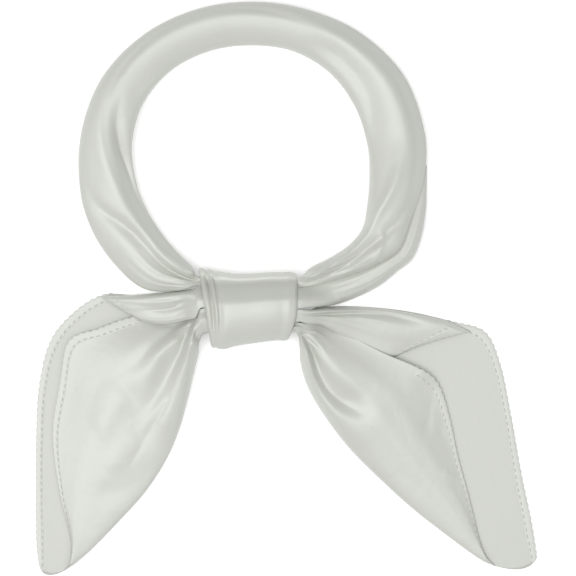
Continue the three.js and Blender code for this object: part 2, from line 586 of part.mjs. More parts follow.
// A point of a flap, from its rolled edge (0) to its lip (1), and its height there
function flapPoint(flap, at, across) {
  const row = (column) => along(flap.stations, at, column);
  const bow = row("bow") * 4 * across * (1 - across) * flap.side * flap.reach;
  const x = lerp(row("edgeX"), row("lipX"), across) + bow;
  const y = lerp(row("edgeY"), row("lipY"), across);
  const foot = CLOTH + PLY_GAP;
  const crest = row("crest") * TAIL_LOFT * (1 + foldLift(flap.folds, at, across));
  const roll = Math.min(across / FLAP_CROWN, 1);
  const rise = (1 - (1 - roll) ** 2) ** 0.5;
  const lipSide = smoothstep(across, FLAP_CROWN, 1);
  const free = lerp(lerp(foot + CLOTH, crest, rise), row("lip") * TAIL_LOFT, lipSide);
  return { x, y, z: lerp(free, throat(x, y).roof, heldShare(at)) };
}

function flapWall(flap) {
  const last = flap.stations[flap.stations.length - 1].at;
  const skin = (drop) => (share, raw) => {
    const { x, y, z } = flapPoint(flap, share * last, raw ** EDGE_CROWDING);
    return [x, y, z - drop];
  };
  return clothWall(FLAP_STEPS, FLAP_SIDES, skin(0), skin(CLOTH));
}

// A sewn hem: a narrow strip on top of a layer's edge
function hemStrip(steps, surface) {
  const skin = (lift) => (share, across) => {
    const { x, y, z } = surface(share, across);
    return [x, y, z + lift];
  };
  return clothWall(steps, 1, skin(PLY_GAP + HEM_WALL), skin(PLY_GAP));
}

function layerHem(tail, layer, start) {
  return hemStrip(HEM_STEPS, (share, across) => {
    const at = lerp(start, 1, share);
    const edge = tailPlace(tail, layer, at, 1);
    const fold = tailPlace(tail, layer, at, 0);
    const width = Math.hypot(edge.x - fold.x, edge.y - fold.y);
    const place = 1 - Math.min(HEM_WIDTH / width, HEM_WIDEST) * across;
    const top = layer === "front" ? frontTop(tail, at, place) : backBase(tail, at, place) + CLOTH;
    return { ...tailPlace(tail, layer, at, place), z: top };
  });
}

function flapHem(flap) {
  const last = flap.stations[flap.stations.length - 1].at;
  const end = flapPoint(flap, last, 0.5);
  const before = flapPoint(flap, last - FLAP_END_STEP, 0.5);
  const span = Math.hypot(end.x - before.x, end.y - before.y) / FLAP_END_STEP;
  return hemStrip(FLAP_SIDES, (share, across) => {
    const place = lerp(FLAP_HEM_MARGIN, 1 - FLAP_HEM_MARGIN, share);
    return flapPoint(flap, last - (HEM_WIDTH / span) * across, place);
  });
}

const leftSpec = tailSpec(-1, LEFT_REACH, LEFT_DROP, leftTail, LEFT_SHARES.tail, leftFolds);
const rightSpec = tailSpec(1, RIGHT_REACH, RIGHT_DROP, rightTail, RIGHT_SHARES.tail, rightFolds);
const leftRoll = flapSpec(-1, LEFT_REACH, LEFT_DROP, leftFlap, LEFT_SHARES.flap, leftFlapFolds);
const rightRoll = flapSpec(
  1, RIGHT_REACH, RIGHT_DROP, rightFlap, RIGHT_SHARES.flap, rightFlapFolds,
);

const kerchief = new THREE.Group();
function addPiece(name, geometry, finish) {
  const piece = new THREE.Mesh(geometry, new THREE.MeshStandardMaterial(finish));
  piece.name = name;
  kerchief.add(piece);
}

addPiece("neck_band", neckBand(), SATIN);
addPiece("band_under_fold", bandUnderFold(), SATIN);
addPiece("knot_wrap", knotWrap(), SATIN);
addPiece("tail_left", tailLayers(leftSpec), SATIN);
addPiece("tail_right", tailLayers(rightSpec), SATIN);
addPiece("flap_left", flapWall(leftRoll), SATIN);
addPiece("flap_right", flapWall(rightRoll), SATIN);
addPiece("hem_left_front", layerHem(leftSpec, "front", HEM_STARTS.leftFront), HEM_SATIN);
addPiece("hem_left_back", layerHem(leftSpec, "back", HEM_STARTS.leftBack), HEM_SATIN);
addPiece("hem_right_front", layerHem(rightSpec, "front", HEM_STARTS.rightFront), HEM_SATIN);
addPiece("hem_right_back", layerHem(rightSpec, "back", HEM_STARTS.rightBack), HEM_SATIN);
addPiece("hem_left_flap", flapHem(leftRoll), HEM_SATIN);
addPiece("hem_right_flap", flapHem(rightRoll), HEM_SATIN);

// The origin lies on the table under the middle of the whole kerchief
const outline = new THREE.Box3().setFromObject(kerchief);
const centre = outline.getCenter(new THREE.Vector3());
kerchief.position.set(-centre.x, -centre.y, -outline.min.z);

export default kerchief;
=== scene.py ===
"""A satin neckerchief, rolled to a band, tied in a loop and laid flat, with its stage."""

import math

import bpy
import numpy as np
from bpy.props import FloatProperty, FloatVectorProperty, PointerProperty
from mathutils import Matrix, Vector


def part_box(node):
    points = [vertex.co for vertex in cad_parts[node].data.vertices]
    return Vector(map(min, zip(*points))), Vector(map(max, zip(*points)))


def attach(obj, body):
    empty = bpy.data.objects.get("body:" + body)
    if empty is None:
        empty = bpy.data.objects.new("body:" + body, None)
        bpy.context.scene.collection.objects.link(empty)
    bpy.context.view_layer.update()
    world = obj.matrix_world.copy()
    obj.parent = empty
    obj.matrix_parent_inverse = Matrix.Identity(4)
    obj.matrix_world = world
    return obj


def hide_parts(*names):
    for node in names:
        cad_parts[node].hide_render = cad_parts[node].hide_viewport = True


bl_info = {
    "name": "Satin neckerchief",
    "version": (1, 0, 0),
    "blender": (4, 5, 0),
    "location": "3D View > Sidebar > Neckerchief",
    "description": "Builds a tied satin neckerchief lying flat, and its stage",
    "category": "Object",
}

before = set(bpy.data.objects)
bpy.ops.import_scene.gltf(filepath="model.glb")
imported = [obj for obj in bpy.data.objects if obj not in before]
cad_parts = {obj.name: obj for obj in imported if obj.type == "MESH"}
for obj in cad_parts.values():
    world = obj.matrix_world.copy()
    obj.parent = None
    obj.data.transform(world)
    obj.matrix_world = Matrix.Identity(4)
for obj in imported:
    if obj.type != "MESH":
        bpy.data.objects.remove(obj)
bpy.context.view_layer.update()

# Lengths that the kerchief keeps, in metres
PLY_GAP = 0.00035
BAND_HEIGHT = 0.0135
UNDER_FOLD_HEIGHT = 0.009
KNOT_DEPTH = 0.037
KNOT_HEIGHT = 0.022
KNOT_WALL = 0.0014
KNOT_SLACK = 0.00065
KNOT_DIP = 0.0078
KNOT_ROLL_IN = 0.0009
CORE = 0.0012
TAIL_LOFT = 0.014
MOUTH_MARGIN = 0.0006
UNDERLAP = 0.003
HEM_LIFT = 0.0001
HEM_SCALLOP = 0.0005
THREAD_RELIEF = 0.0001
FLOOR_DROP = 0.0002

# Shares of those lengths
STAND_OFF_SHARE = 0.907
KNOT_BASE_FACTOR = 1.05
KNOT_LEAN_SHARE = 0.065
KNOT_CORNER_SHARE = 0.087
THROAT_DEPTH_SHARE = 0.36
THROAT_EDGE_SHARE = 0.985
HELD_BRIM = 0.8
HELD_LIP = 0.9

# Powers: how boxy a rounded section is, how sharp a fold is, how a mesh's lines crowd to one edge
KNOT_FAR_ROUND = 2.1
KNOT_NEAR_ROUND = 2
KNOT_BASE_ROUND = 4
KNOT_DIP_ROUND = 8
HEM_ROUND = 4
FREE_ROUND = 2.3
THROAT_ROUND = 5
CREST_SHARPNESS = 2
VALLEY_SHARPNESS = 1.7
GATHER_SHARPNESS = 0.7
KNOT_CROWDING = 1.15
TAIL_CROWDING = 1.25
FLAP_CROWDING = 1.1

# Places along or across a piece, as shares
KNOT_DIP_SPAN = (0.16, 0.84)
KNOT_LEFT_ROLL = (0, 0.02)
KNOT_RIGHT_ROLL = (0.965, 1)
KNOT_TOP_TURNS = (0.05, 0.45)
TAIL_PLACES = {"deep": 0, "mouth": 0.08, "free": 0.2}
FRONT_CROWN = 0.45
FLAP_CROWN = 0.2
FLAP_CURL = 0.86
COVER_FROM = 0.5
COVER_TO = 0.9
UNDER_GATHER_SPAN = 0.6

# How far a fine gather sways to the side, in waves, and how often along its piece
GATHER_SWAY = 0.18
GATHER_SWAYS = 2.3

# Hems: how deep and wide the groove along the stitches is, and how a hem begins and ends
STITCH_LINE = 0.8
GROOVE_DEPTH = 0.8
GROOVE_WIDTH = 0.1
GROOVE_LEAST = 0.3
HEM_START_SINK = 1.4
HEM_START_SPAN = 0.06
HEM_SCALLOP_SPAN = 0.4
HEM_CLOTH_SHARE = 0.5
HEM_WIDEST_SHARE = 0.8
FLAP_HEM_SPAN = (0.02, 0.99)
THREAD_STAND = 0.4

# Each stitch: where it begins in its pitch, how its ends taper, how flat it is, its rings and sides
STITCH_START = 0.3
STITCH_TAPER = (0.12, 0.88)
STITCH_FLATNESS = 0.7
STITCH_GRID = (5, 6)

# The satin's noises: how often they repeat in a metre, along and across the threads where it matters
TWILL_SCALE = (900, 5200, 1)
SLUB_SCALE = (60, 900, 1)
CLOUD_SCALE = 38.0
CREASE_SCALE = 120.0
TWIST_SCALE = 3000.0

# What those noises do: to the tone, to the relief and to the gloss
SLUB_TONE = 0.3
SLUB_RELIEF = 0.4
TONE_ROUGHNESS = 0.1
DULLING = 0.4

# The band's turns deep inside the knot, at its mouth, and where it begins or ceases to lie free
LEFT_TURNS = {"deep": 4, "mouth": 20, "free": 34}
RIGHT_TURNS = {"free": 326, "mouth": 338, "deep": 356}
TOP_TURN = 180

# Fineness of the meshes
BAND_GRID = (380, 84, 36)
UNDER_GRID = (130, 44)
KNOT_GRID = (130, 150)
TAIL_GRID = (200, 40, 120)
FLAP_GRID = (110, 64)
HEM_GRID = (360, 22)
FLAP_HEM_GRID = (90, 22)

# How crumpled and how shiny each satin finish is
SATINS = {"main satin": (1.0, 1.0), "hem satin": (0.6, 1.0), "satin reverse": (0.8, 0.85)}

# Where the bundles of cloth share the room inside the knot, from its far edge (0) to its near edge (1)
LEFT_SHARES = {"band": (0.04, 0.195), "flap": (0.195, 0.53), "tail": (0.53, 0.93)}
RIGHT_SHARES = {"band": (0.02, 0.19), "under": (0.19, 0.56), "flap": (0.56, 0.79), "tail": (0.79, 0.98)}


def rows(columns, *values):
    """A table as a list of rows with named columns"""
    names = columns.split()
    return [dict(zip(names, row)) for row in values]


KNOT_SECTIONS = rows(
    "at far near height",
    (0.0, 0.54, 0.44, 0.86),
    (0.07, 0.53, 0.475, 0.93),
    (0.17, 0.5, 0.53, 0.98),
    (0.33, 0.48, 0.49, 1.0),
    (0.5, 0.485, 0.46, 1.0),
    (0.7, 0.5, 0.425, 1.0),
    (0.9, 0.505, 0.41, 0.97),
    (1.0, 0.49, 0.385, 0.92),
)

BAND_SECTIONS = rows(
    "at inner width rise edge",
    (30, 0.99, 0.52, 0.98, 0.42),
    (40, 0.962, 0.9, 0.96, 0.4),
    (50, 0.951, 1.02, 0.93, 0.36),
    (65, 0.955, 1.08, 0.92, 0.34),
    (80, 0.978, 1.055, 0.95, 0.34),
    (100, 1.02, 0.965, 0.98, 0.34),
    (120, 1.05, 0.9, 1.0, 0.34),
    (140, 1.048, 0.838, 0.98, 0.34),
    (160, 1.026, 0.815, 0.95, 0.34),
    (180, 1.013, 0.81, 0.93, 0.34),
    (200, 1.027, 0.82, 0.95, 0.28),
    (220, 1.027, 0.933, 0.98, 0.26),
    (240, 1.01, 1.074, 1.0, 0.22),
    (260, 1.001, 1.084, 1.0, 0.22),
    (275, 1.007, 1.01, 0.98, 0.24),
    (290, 1.044, 0.874, 0.96, 0.26),
    (300, 1.084, 0.8, 0.96, 0.36),
    (310, 1.066, 0.61, 0.98, 0.38),
    (320, 1.027, 0.465, 1.0, 0.4),
    (330, 1.002, 0.358, 1.04, 0.42),
)

UNDER_SECTIONS = rows(
    "at width rise",
    (270, 0.01, 0.14),
    (277, 0.06, 0.3),
    (284, 0.15, 0.5),
    (292, 0.24, 0.72),
    (300, 0.27, 0.86),
    (306, 0.29, 0.9),
    (313, 0.38, 0.92),
    (321, 0.43, 0.98),
    (330, 0.43, 1.1),
)

TAIL_COLUMNS = "at foldOut foldDown frontOut frontDown backOut backDown loft brim bow"
LEFT_TAIL = rows(
    TAIL_COLUMNS,
    (0.13, 0.03, 0.12, 0.06, 0.012, 0.12, -0.05, 1.0, 0.45, 0),
    (0.18, 0.036, 0.161, 0.107, 0.017, 0.202, -0.062, 0.95, 0.28, 0),
    (0.3, 0.065, 0.24, 0.249, 0.032, 0.41, -0.055, 0.84, 0.24, 0),
    (0.42, 0.101, 0.338, 0.43, 0.03, 0.6, -0.055, 0.74, 0.24, 0),
    (0.53, 0.154, 0.456, 0.635, 0.074, 0.772, 0.01, 0.57, 0.26, 0),
    (0.64, 0.231, 0.569, 0.807, 0.123, 0.914, 0.12, 0.4, 0.18, 0),
    (0.74, 0.35, 0.686, 0.86, 0.285, 0.98, 0.285, 0.36, 0.12, 0),
    (0.83, 0.504, 0.796, 0.902, 0.474, 0.998, 0.474, 0.28, 0.1, 0),
    (0.91, 0.665, 0.902, 0.862, 0.69, 1.0, 0.69, 0.22, 0.1, 0),
    (0.97, 0.765, 0.958, 0.8, 0.86, 0.998, 0.87, 0.22, 0.1, 0.005),
    (1.0, 0.825, 0.984, 0.79, 0.955, 0.985, 0.96, 0.16, 0.1, 0.03),
)
RIGHT_TAIL = rows(
    TAIL_COLUMNS,
    (0.12, 0.01, 0.14, 0.04, 0.055, 0.06, 0.0, 1.05, 0.6, 0),
    (0.18, 0.013, 0.2, 0.1, 0.05, 0.12, -0.012, 0.98, 0.42, 0),
    (0.3, 0.046, 0.302, 0.209, 0.095, 0.29, -0.01, 0.85, 0.44, 0),
    (0.42, 0.12, 0.418, 0.362, 0.168, 0.477, 0.01, 0.74, 0.42, 0),
    (0.52, 0.22, 0.538, 0.51, 0.228, 0.647, 0.048, 0.56, 0.34, 0),
    (0.62, 0.344, 0.653, 0.589, 0.295, 0.78, 0.09, 0.44, 0.16, 0),
    (0.71, 0.477, 0.765, 0.635, 0.426, 0.842, 0.214, 0.33, 0.11, 0),
    (0.8, 0.598, 0.853, 0.667, 0.565, 0.888, 0.418, 0.26, 0.1, 0),
    (0.88, 0.693, 0.919, 0.71, 0.712, 0.929, 0.634, 0.22, 0.1, 0),
    (0.95, 0.77, 0.968, 0.752, 0.868, 0.971, 0.82, 0.18, 0.1, 0.006),
    (1.0, 0.815, 0.986, 0.778, 0.958, 0.994, 0.955, 0.16, 0.1, 0.028),
)

FLAP_COLUMNS = "at edgeOut edgeDown lipOut lipDown crest lip bow"
LEFT_FLAP = rows(
    FLAP_COLUMNS,
    (0.13, 0.07, -0.078, 0.055, 0.03, 1.02, 0.9, 0),
    (0.18, 0.137, -0.072, 0.1, 0.038, 0.9, 0.76, 0),
    (0.3, 0.297, -0.062, 0.231, 0.055, 0.74, 0.62, 0),
    (0.4, 0.445, -0.055, 0.356, 0.046, 0.56, 0.48, 0),
    (0.46, 0.61, -0.05, 0.44, 0.021, 0.4, 0.38, 0),
)
RIGHT_FLAP = rows(
    FLAP_COLUMNS,
    (0.12, 0.05, 0.0, 0.035, 0.053, 1.05, 0.95, 0),
    (0.18, 0.137, -0.006, 0.1, 0.06, 0.9, 0.82, 0),
    (0.3, 0.29, -0.008, 0.212, 0.114, 0.59, 0.5, 0),
    (0.42, 0.477, 0.013, 0.345, 0.182, 0.42, 0.33, 0),
    (0.51, 0.63, 0.046, 0.39, 0.186, 0.29, 0.25, -0.01),
    (0.57, 0.718, 0.083, 0.43, 0.172, 0.2, 0.18, -0.03),
)
HEM_STARTS = {"left_front": 0.38, "left_back": 0.38, "right_front": 0.5, "right_back": 0.5}


def fold(lift, inner, outer, *path, fades=(0.2, 0.25)):
    """A fold: its height as a share, its widths to either side, its path and what share fades at each end"""
    return {"lift": lift, "inner": inner, "outer": outer, "path": rows("at across", *path), "fades": fades}


# Folds of the band: places are the turn and the share across, from the inner edge to the outer
BAND_FOLDS = [
    fold(-0.5, 0.22, 0.1, (36, 0.0), (60, 0.02), (80, 0.07), (90, 0.13), (100, 0.25), (108, 0.36),
         (120, 0.47), fades=(0.15, 0.4)),
    fold(0.06, 0.1, 0.16, (24, 0.2), (42, 0.22), (60, 0.22), (80, 0.36), (100, 0.62), (112, 0.8), (125, 0.92),
         fades=(0, 0.3)),
    fold(-0.18, 0.12, 0.14, (22, 0.47), (32, 0.45), (42, 0.38), (58, 0.39), (66, 0.5), (71, 0.64),
         (78, 0.8), (92, 0.94), fades=(0, 0.5)),
    fold(-0.2, 0.04, 0.06, (20, 0.46), (30, 0.46), (38, 0.4), (50, 0.38), fades=(0, 0.6)),
    fold(-0.24, 0.4, 0.2, (20, 0.97), (60, 0.98), (86, 1.02), (108, 1.06), fades=(0, 0.3)),
    fold(-0.12, 0.07, 0.2, (112, 0.68), (140, 0.82), (165, 0.87), (180, 0.83), (192, 0.75), (206, 0.66),
         fades=(0.3, 0.4)),
    fold(-0.28, 0.3, 0.6, (96, 0.0), (130, -0.04), (180, -0.04), (240, -0.04), (284, -0.04),
         fades=(0.2, 0.15)),
    fold(-0.6, 0.16, 0.1, (192, 1.03), (210, 1.01), (240, 1.02), (265, 1.01), (284, 0.99), (302, 0.98),
         fades=(0.25, 0.3)),
    fold(-0.14, 0.2, 0.24, (200, 0.36), (220, 0.34), (237, 0.3), (250, 0.18), (266, 0.1), fades=(0.3, 0.3)),
    fold(0.14, 0.12, 0.12, (258, 0.54), (275, 0.48), (285, 0.35), (292, 0.21), (300, 0.12), (310, 0.14),
         (320, 0.29), (330, 0.45), (345, 0.5), fades=(0.3, 0)),
    fold(-0.15, 0.13, 0.13, (272, 0.94), (290, 0.74), (296, 0.56), (300, 0.47), (304, 0.42), (310, 0.45),
         (318, 0.58), (326, 0.7), (340, 0.76), fades=(0.3, 0)),
    fold(0.08, 0.09, 0.09, (296, 0.42), (303, 0.62), (306, 0.8), (309, 0.98), fades=(0.2, 0.1)),
]

# Folds that run out from the knot: places are the share along the tail and the share across,
# from the folded edge to the hemmed edge
LEFT_FOLDS = [
    fold(0.18, 0.16, 0.15, (0.05, 0.74), (0.15, 0.6), (0.2, 0.42), (0.3, 0.22), (0.4, 0.15), (0.5, 0.1),
         (0.66, 0.08)),
    fold(-0.32, 0.12, 0.14, (0.08, 0.88), (0.15, 0.77), (0.2, 0.62), (0.25, 0.51), (0.3, 0.42), (0.35, 0.37),
         (0.4, 0.33), (0.5, 0.3), (0.62, 0.34), (0.74, 0.42), fades=(0.1, 0.5)),
    fold(0.12, 0.08, 0.08, (0.24, 0.66), (0.3, 0.62), (0.4, 0.58), (0.48, 0.54), fades=(0.3, 0.3)),
    fold(-0.2, 0.07, 0.1, (0.2, 0.83), (0.3, 0.77), (0.35, 0.71), (0.4, 0.66), (0.5, 0.62), (0.66, 0.62),
         fades=(0.2, 0.5)),
    fold(-0.2, 0.05, 0.06, (0.12, 0.88), (0.2, 0.85), (0.27, 0.85), (0.33, 0.9), (0.42, 0.9), fades=(0, 0.4)),
    fold(0.2, 0.12, 0.14, (0.58, 0.47), (0.66, 0.5), (0.76, 0.55), fades=(0.3, 0.3)),
    fold(0.05, 0.05, 0.04, (0.46, 0.25), (0.56, 0.25), (0.66, 0.26), fades=(0.3, 0.3)),
    fold(-0.06, 0.025, 0.03, (0.46, 0.19), (0.56, 0.2), (0.66, 0.2), (0.76, 0.22)),
    fold(0.1, 0.1, 0.1, (0.64, 0.24), (0.72, 0.3), (0.79, 0.34), fades=(0.3, 0.3)),
    fold(-0.18, 0.12, 0.12, (0.66, 0.06), (0.77, 0.12), (0.82, 0.24), (0.86, 0.42), (0.88, 0.62),
         fades=(0.3, 0.4)),
    fold(0.3, 0.34, 0.1, (0.34, 0.84), (0.45, 0.88), (0.6, 0.9), (0.75, 0.88), (0.88, 0.84),
         fades=(0.3, 0.3)),
]
RIGHT_FOLDS = [
    fold(0.18, 0.12, 0.1, (0.05, 0.36), (0.13, 0.3), (0.2, 0.24), (0.3, 0.14), (0.4, 0.1), (0.5, 0.12),
         (0.62, 0.16), fades=(0, 0.4)),
    fold(-0.34, 0.09, 0.16, (0.06, 0.56), (0.13, 0.48), (0.2, 0.4), (0.25, 0.34), (0.3, 0.28), (0.36, 0.24),
         (0.41, 0.26), (0.46, 0.3), (0.52, 0.36), fades=(0.1, 0.22)),
    fold(0.12, 0.2, 0.2, (0.44, 0.36), (0.56, 0.36), (0.7, 0.34), (0.94, 0.34)),
    fold(-0.2, 0.12, 0.1, (0.54, 0.98), (0.61, 0.93), (0.65, 0.75), (0.68, 0.6), fades=(0.2, 0.4)),
    fold(-0.16, 0.08, 0.08, (0.68, 0.78), (0.72, 0.84), (0.76, 0.92), fades=(0.3, 0.3)),
    fold(0.09, 0.06, 0.06, (0.75, 0.58), (0.79, 0.7), (0.82, 0.82), fades=(0.3, 0.3)),
]
LEFT_FLAP_FOLDS = [
    fold(-0.2, 0.14, 0.18, (0.06, 0.38), (0.13, 0.42), (0.2, 0.46), (0.25, 0.56), (0.35, 0.57), (0.44, 0.62),
         fades=(0.1, 0.4)),
    fold(0.08, 0.1, 0.12, (0.06, 0.66), (0.15, 0.66), (0.25, 0.76), (0.42, 0.8), fades=(0.1, 0.3)),
]
RIGHT_FLAP_FOLDS = [
    fold(-0.3, 0.07, 0.12, (0.06, 0.46), (0.17, 0.36), (0.25, 0.25), (0.3, 0.18), (0.36, 0.13), (0.42, 0.15),
         (0.52, 0.22), fades=(0.1, 0.3)),
    fold(-0.26, 0.2, 0.2, (0.33, 1.0), (0.42, 0.94), (0.52, 0.88), fades=(0.4, 0)),
]
# Folds of the knot: places are the share from its far edge to its near one and the share along it
KNOT_FOLDS = [
    fold(0.7, 0.03, 0.025, (-0.1, 0.03), (0.5, 0.035), (1.1, 0.03), fades=(0, 0)),
    fold(-1.0, 0.018, 0.02, (-0.1, 0.075), (0.5, 0.085), (0.9, 0.06), fades=(0, 0.3)),
    fold(0.6, 0.02, 0.02, (-0.1, 0.105), (0.5, 0.13), (0.9, 0.09), fades=(0, 0.3)),
    fold(-0.5, 0.015, 0.03, (-0.1, 0.14), (0.5, 0.165), (0.95, 0.12), fades=(0, 0.3)),
    fold(0.2, 0.06, 0.1, (-0.1, 0.22), (0.5, 0.26), (1.1, 0.2), fades=(0, 0)),
    fold(-0.14, 0.05, 0.05, (-0.1, 0.84), (0.5, 0.84), (1.1, 0.86), fades=(0, 0)),
    fold(0.14, 0.04, 0.03, (-0.1, 0.92), (0.5, 0.92), (1.1, 0.93), fades=(0, 0)),
]

# Fine gathers: how many waves lie across, how far they drift along the cloth, where they start and end
GATHER_COLUMNS = "count drift phase start finish lift"
BAND_GATHERS = rows(
    GATHER_COLUMNS,
    (7, 0.9, 0.1, 0.0, 0.14, 0.012),
    (11, -1.2, 0.45, 0.0, 0.1, 0.008),
    (7, 1.1, 0.7, 0.86, 1.0, 0.012),
    (12, -0.8, 0.2, 0.9, 1.0, 0.008),
)
TAIL_GATHERS = rows(
    GATHER_COLUMNS,
    (6.5, 0.8, 0.3, 0.05, 0.3, 0.016),
    (11, -0.7, 0.15, 0.05, 0.24, 0.01),
    (4.3, 1.3, 0.8, 0.3, 0.95, 0.015),
)
FLAP_GATHERS = rows(
    GATHER_COLUMNS,
    (3.2, 0.5, 0.2, 0.05, 0.6, 0.012),
    (6, -0.8, 0.55, 0.05, 0.4, 0.01),
)

# What each side of the knot is made from
SIDES = {
    "left": {"sign": -1, "shares": LEFT_SHARES, "tail": (LEFT_TAIL, LEFT_FOLDS),
             "flap": (LEFT_FLAP, LEFT_FLAP_FOLDS)},
    "right": {"sign": 1, "shares": RIGHT_SHARES, "tail": (RIGHT_TAIL, RIGHT_FOLDS),
              "flap": (RIGHT_FLAP, RIGHT_FLAP_FOLDS)},
}

LIGHTS = rows(
    "name x y z size power",
    ("overhead", 0.3, 0.0, 2.7, 1.0, 15.5),
    ("high left", -0.7, -0.2, 2.0, 1.0, 17),
    ("low left", -1.65, 0.0, 1.3, 1.0, 4),
    ("low right", 1.5, -0.6, 1.3, 1.0, 4.5),
)


def smoothstep(value, low, high):
    """The usual smooth step between two values, or a hard one where they are the same"""
    if low == high:
        return (value > low) * 1.0
    t = np.clip((value - low) / (high - low), 0, 1)
    return t * t * (3 - 2 * t)


def lerp(start, end, share):
    """A value between two others"""
    return start + (end - start) * share


def along(table, at, column):
    """A column's value at a place, on a smooth curve through the table's rows"""
    places = np.array([row["at"] for row in table], float)
    values = np.array([row[column] for row in table], float)
    last = len(table) - 1
    before = np.maximum(np.arange(last + 1) - 1, 0)
    after = np.minimum(np.arange(last + 1) + 1, last)
    slopes = (values[after] - values[before]) / (places[after] - places[before])
    i = np.clip(np.searchsorted(places, at, side="left") - 1, 0, last - 1)
    span = places[i + 1] - places[i]
    t = np.clip((at - places[i]) / span, 0, 1)
    swing = (slopes[i] * (1 - t) - slopes[i + 1] * t) * span
    return lerp(values[i], values[i + 1], t * t * (3 - 2 * t)) + swing * t * (1 - t)


def between(table, at, edges, across):
    """The X and Y of a place between two of a table's edges"""
    first, second = edges
    return [lerp(along(table, at, first + axis), along(table, at, second + axis), across) for axis in "XY"]


def fold_lift(folds, at, across):
    """The height that a set of folds adds at a place, as a share"""
    lift = np.zeros(np.broadcast(at, across).shape)
    for row in folds:
        first = row["path"][0]["at"]
        share = (at - first) / (row["path"][-1]["at"] - first)
        opening, closing = row["fades"]
        fade = smoothstep(share, 0, opening) * (1 - smoothstep(share, 1 - closing, 1))
        offset = across - along(row["path"], at, "across")
        width = np.where(offset < 0, row["inner"], row["outer"])
        sharpness = CREST_SHARPNESS if row["lift"] > 0 else VALLEY_SHARPNESS
        lift = lift + row["lift"] * fade * np.exp(-(np.abs(offset / width) ** sharpness))
    return lift


def gather_lift(gathers, share, across):
    """Fine waves across the cloth, as a share of its height"""
    lift = np.zeros(np.broadcast(share, across).shape)
    for row in gathers:
        middle = (share - row["start"]) / (row["finish"] - row["start"])
        fade = np.clip(4 * middle * (1 - middle), 0, 1) ** GATHER_SHARPNESS
        wave = row["count"] * across + row["drift"] * share + row["phase"]
        bend = GATHER_SWAY * np.sin(2 * math.pi * (GATHER_SWAYS * share + row["phase"]))
        lift = lift + row["lift"] * fade * np.sin(2 * math.pi * (wave + bend))
    return lift


def fullness(place, roundness):
    """How full a rounded section is at a place across it, from 0 at its edges to 1 in its middle"""
    return np.maximum(1 - np.abs(2 * place - 1) ** roundness, 0) ** (1 / roundness)


def far_dip(reach):
    """How far the knot's top dips towards its far edge"""
    reach = np.clip(reach, 0, 1)
    return KNOT_DIP * smoothstep(reach, *KNOT_DIP_SPAN) * (1 - reach ** KNOT_DIP_ROUND)


